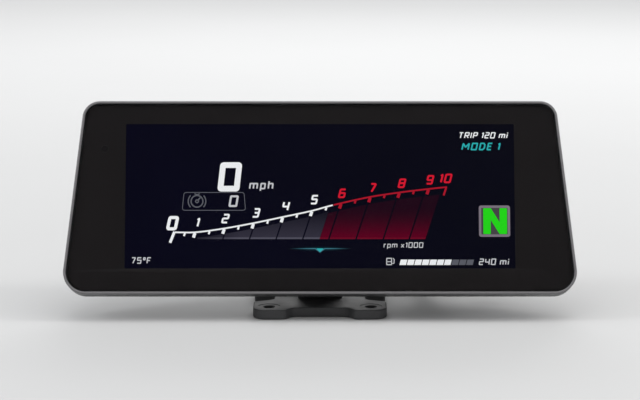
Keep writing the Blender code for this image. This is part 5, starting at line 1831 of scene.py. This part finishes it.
# Cross bars between the beam's ribs and between the column's.
for x in (-84, -58, -34, 34, 58, 84):
    parts.append(block(around(x, 1), (EYE_BACK - 0.6, RIB_BACK - 2),
                       (BEAM_Z - 5.1, BEAM_Z + 7.1), 0.45, 3))
for z in (12, -16):
    parts.append(block((-12, 12), (EYE_BACK - 0.6, RIB_BACK - 2.2), around(z, 1), 0.45, 3))
LOWER_PAD = [
    (0, EYE_BACK - 0.5), (10.5, EYE_BACK - 0.5), (10.3, EYE_BACK + 0.2), (9.9, EYE_BACK + 0.32),
    (0, EYE_BACK + 0.32),
]
parts.append(turned(LOWER_PAD, MOUNTS["lower"], n=80))
join(bracket, *parts)
moved(bracket, CLUSTER)

# Waisted foot plate, from one quarter's (x, y, radius) corners.
FOOT_X, FOOT_Y, FOOT_THICK = 42, 35, 6
quarter = [
    (29, 6, 5), (FOOT_X, 11, 3), (FOOT_X, FOOT_Y, 8), (22, FOOT_Y, 4), (17, FOOT_Y - 7, 6),
]
rear_half = quarter + [(-x, y, radius) for x, y, radius in quarter[::-1]]
foot_outline = rounded(rear_half + [(-x, -y, radius) for x, y, radius in rear_half], 12)
join(bracket, sheet([foot_outline], (0, FOOT_THICK), axis="z", bevel=0.8, seg=4, angle=50))
web = rounded([
    (-4, 3, 0), (27, 3, 0), (27, 8, 2), (13.5, 26, 14), (12, 34, 2.5), (6, 34, 0),
], 8)
for side in (-1, 1):
    join(bracket, sheet([web], sided(side, 10.5, 14), axis="x", bevel=0.6, angle=40))
# Foot holes chamfered at both ends, with a shallow spot face on top: (radius, z).
FOOT_HOLE = [
    (0, -1), (4.3, -1), (4.3, 0), (3.3, 1), (3.3, 5.1), (4.2, 6.02), (4.2, 8), (0, 8),
]
SPOT_FACE = [(0, 5.72), (7, 5.72), (7.2, 6.3), (0, 6.3)]
drills = []
for at in [(-32, -25), (32, -25), (-32, 25), (32, 25)]:
    drills += [turned(profile, at, axis="z", n=64) for profile in (FOOT_HOLE, SPOT_FACE)]
cut(bracket, *drills)
EYE_HOLE = [
    (0, EYE_FRONT - 3), (7.6, EYE_FRONT - 3), (7.6, EYE_FRONT - 0.05), (7, EYE_FRONT + 0.5),
    (7, EYE_BACK - 0.5), (7.6, EYE_BACK + 0.05), (7.6, EYE_BACK + 3), (0, EYE_BACK + 3),
]
cut(bracket, *[moved(turned(EYE_HOLE, at, n=80), CLUSTER) for at in MOUNTS.values()])
# Lightening windows in the beam's web.
windows = []
for side in (-1, 1):
    for inner, outer in ((62, 80), (38, 54)):
        loop = box_outline(sided(side, inner, outer), (BEAM_Z - 1.6, BEAM_Z + 3.6), 2.2, 8)
        windows.append(moved(sheet([loop], (EYE_FRONT - 2, EYE_BACK + 1)), CLUSTER))
cut(bracket, *windows)
piece(bracket, "bracket_casting", "bracket_cast", replaces="mounting_bracket",
      space=Matrix.Identity(4), smooth=36)

# ---------------------------------------------------------------- CAD pieces that only get materials
slot_of = {part["node"]: part["material_slot"] for part in frame["record"]["subparts"]}
for name, o in frame["nodes"].items():
    if name not in replaced:
        o.data.materials.clear()
        o.data.materials.append(MATERIALS[slot_of[name]])
        o.data.shade_smooth()
        o.data.set_sharp_from_angle(angle=math.radians(32))

# ---------------------------------------------------------------- floor
disc = bmesh.new()
bmesh.ops.create_circle(disc, cap_ends=True, cap_tris=True, radius=9, segments=96)
floor = to_object(disc, "floor")
floor.location.z = min(0, CAD_BOX[0][2]) - 0.0004


def floor_material():
    """Pale matt floor, darker in the middle, which gets the most light."""
    material = bpy.data.materials.new("floor")
    material.use_nodes = True
    graph = Graph(material.node_tree)
    place = graph.node("TexCoord", "Object")
    clouds = graph.noise(3, detail=3, place=place)
    tone = graph.ramp(clouds, span=(0, 1), to=(0.80, 0.83))
    away = graph.node("VectorMath", "Value", {0: place}, operation="LENGTH")
    even = graph.times(tone, graph.ramp(away, span=(0.3, 3.2), to=(0.64, 1)))
    colour = graph.node("CombineColor", "Color", {"Red": even, "Green": even, "Blue": even})
    surface = graph.tree.nodes["Principled BSDF"]
    graph.feed(surface.inputs["Base Color"], colour)
    surface.inputs["Roughness"].default_value = 0.9
    surface.inputs["Specular IOR Level"].default_value = 0.1
    return material


floor.data.materials.append(floor_material())

# ---------------------------------------------------------------- world
world = bpy.data.worlds.new("studio")
scene.world = world
world.use_nodes = True
sky = Graph(world.node_tree)
rays = sky.tree.nodes.new("ShaderNodeLightPath")
height = sky.node("SeparateXYZ", "Z", {"Vector": sky.node("TexCoord", "Generated")})


def pick(flag, other, value):
    """value for rays of one kind, other for the rest."""
    inputs = {"Factor": rays.outputs[flag], 2: other, 3: value}
    return sky.node("Mix", 0, inputs, data_type="FLOAT")


# Strength by height above the horizon. Shiny surfaces see dark walls under a bright ceiling.
ambient = sky.ramp(height, span=(-0.1, 0.95), to=(0.66, 0.92), smooth=True)
mirrored = sky.ramp(height, span=(0.48, 0.98), to=(0.05, 0.95), smooth=True)
seen = sky.ramp(height, span=(-0.02, 0.35), to=(0.675, 0.82), smooth=True)
background = sky.tree.nodes["Background"]
strength = pick("Is Camera Ray", pick("Is Glossy Ray", ambient, mirrored), seen)
sky.feed(background.inputs["Strength"], strength)
background.inputs["Color"].default_value = (0.985, 0.992, 1, 1)


# ---------------------------------------------------------------- lights
def softbox(name, at, width, height, power, tint=(1, 1, 1)):
    """A rectangular light aimed at the middle of the product."""
    light = bpy.data.lights.new(name, "AREA")
    light.shape = "RECTANGLE"
    light.size = width
    light.size_y = height
    light.energy = power
    light.color = tint
    o = bpy.data.objects.new(name, light)
    scene.collection.objects.link(o)
    o.location = at
    aim = (CAD_BOX[0] + CAD_BOX[1]) / 2
    o.rotation_euler = (aim - Vector(at)).to_track_quat("-Z", "Y").to_euler()
    o.visible_camera = False


softbox("key_above", (0.15, -0.35, 1.7), width=1.8, height=1.2, power=9)
softbox("strip_left", (-1.5, -0.4, 1.05), width=0.4, height=0.9, power=8.5, tint=(0.96, 0.98, 1))
softbox("strip_right", (1.5, -0.2, 1.1), width=0.4, height=0.9, power=8.5, tint=(1, 0.985, 0.96))
softbox("back_box", (0.2, 1.45, 1), width=1.3, height=0.7, power=9)

# ---------------------------------------------------------------- camera
ELEVATION, DISTANCE = math.radians(11), 1.45
TARGET = Vector((0, -0.004, 0.070))
camera_data = bpy.data.cameras.new("camera")
camera = bpy.data.objects.new("camera", camera_data)
scene.collection.objects.link(camera)
scene.camera = camera
camera.location = TARGET + Vector((0, -math.cos(ELEVATION), math.sin(ELEVATION))) * DISTANCE
camera.rotation_euler = (TARGET - camera.location).to_track_quat("-Z", "Y").to_euler()
camera_data.lens = 129
camera_data.sensor_width = 36
camera_data.clip_start = 0.02
camera_data.clip_end = 50
scene.view_settings.view_transform = "Standard"
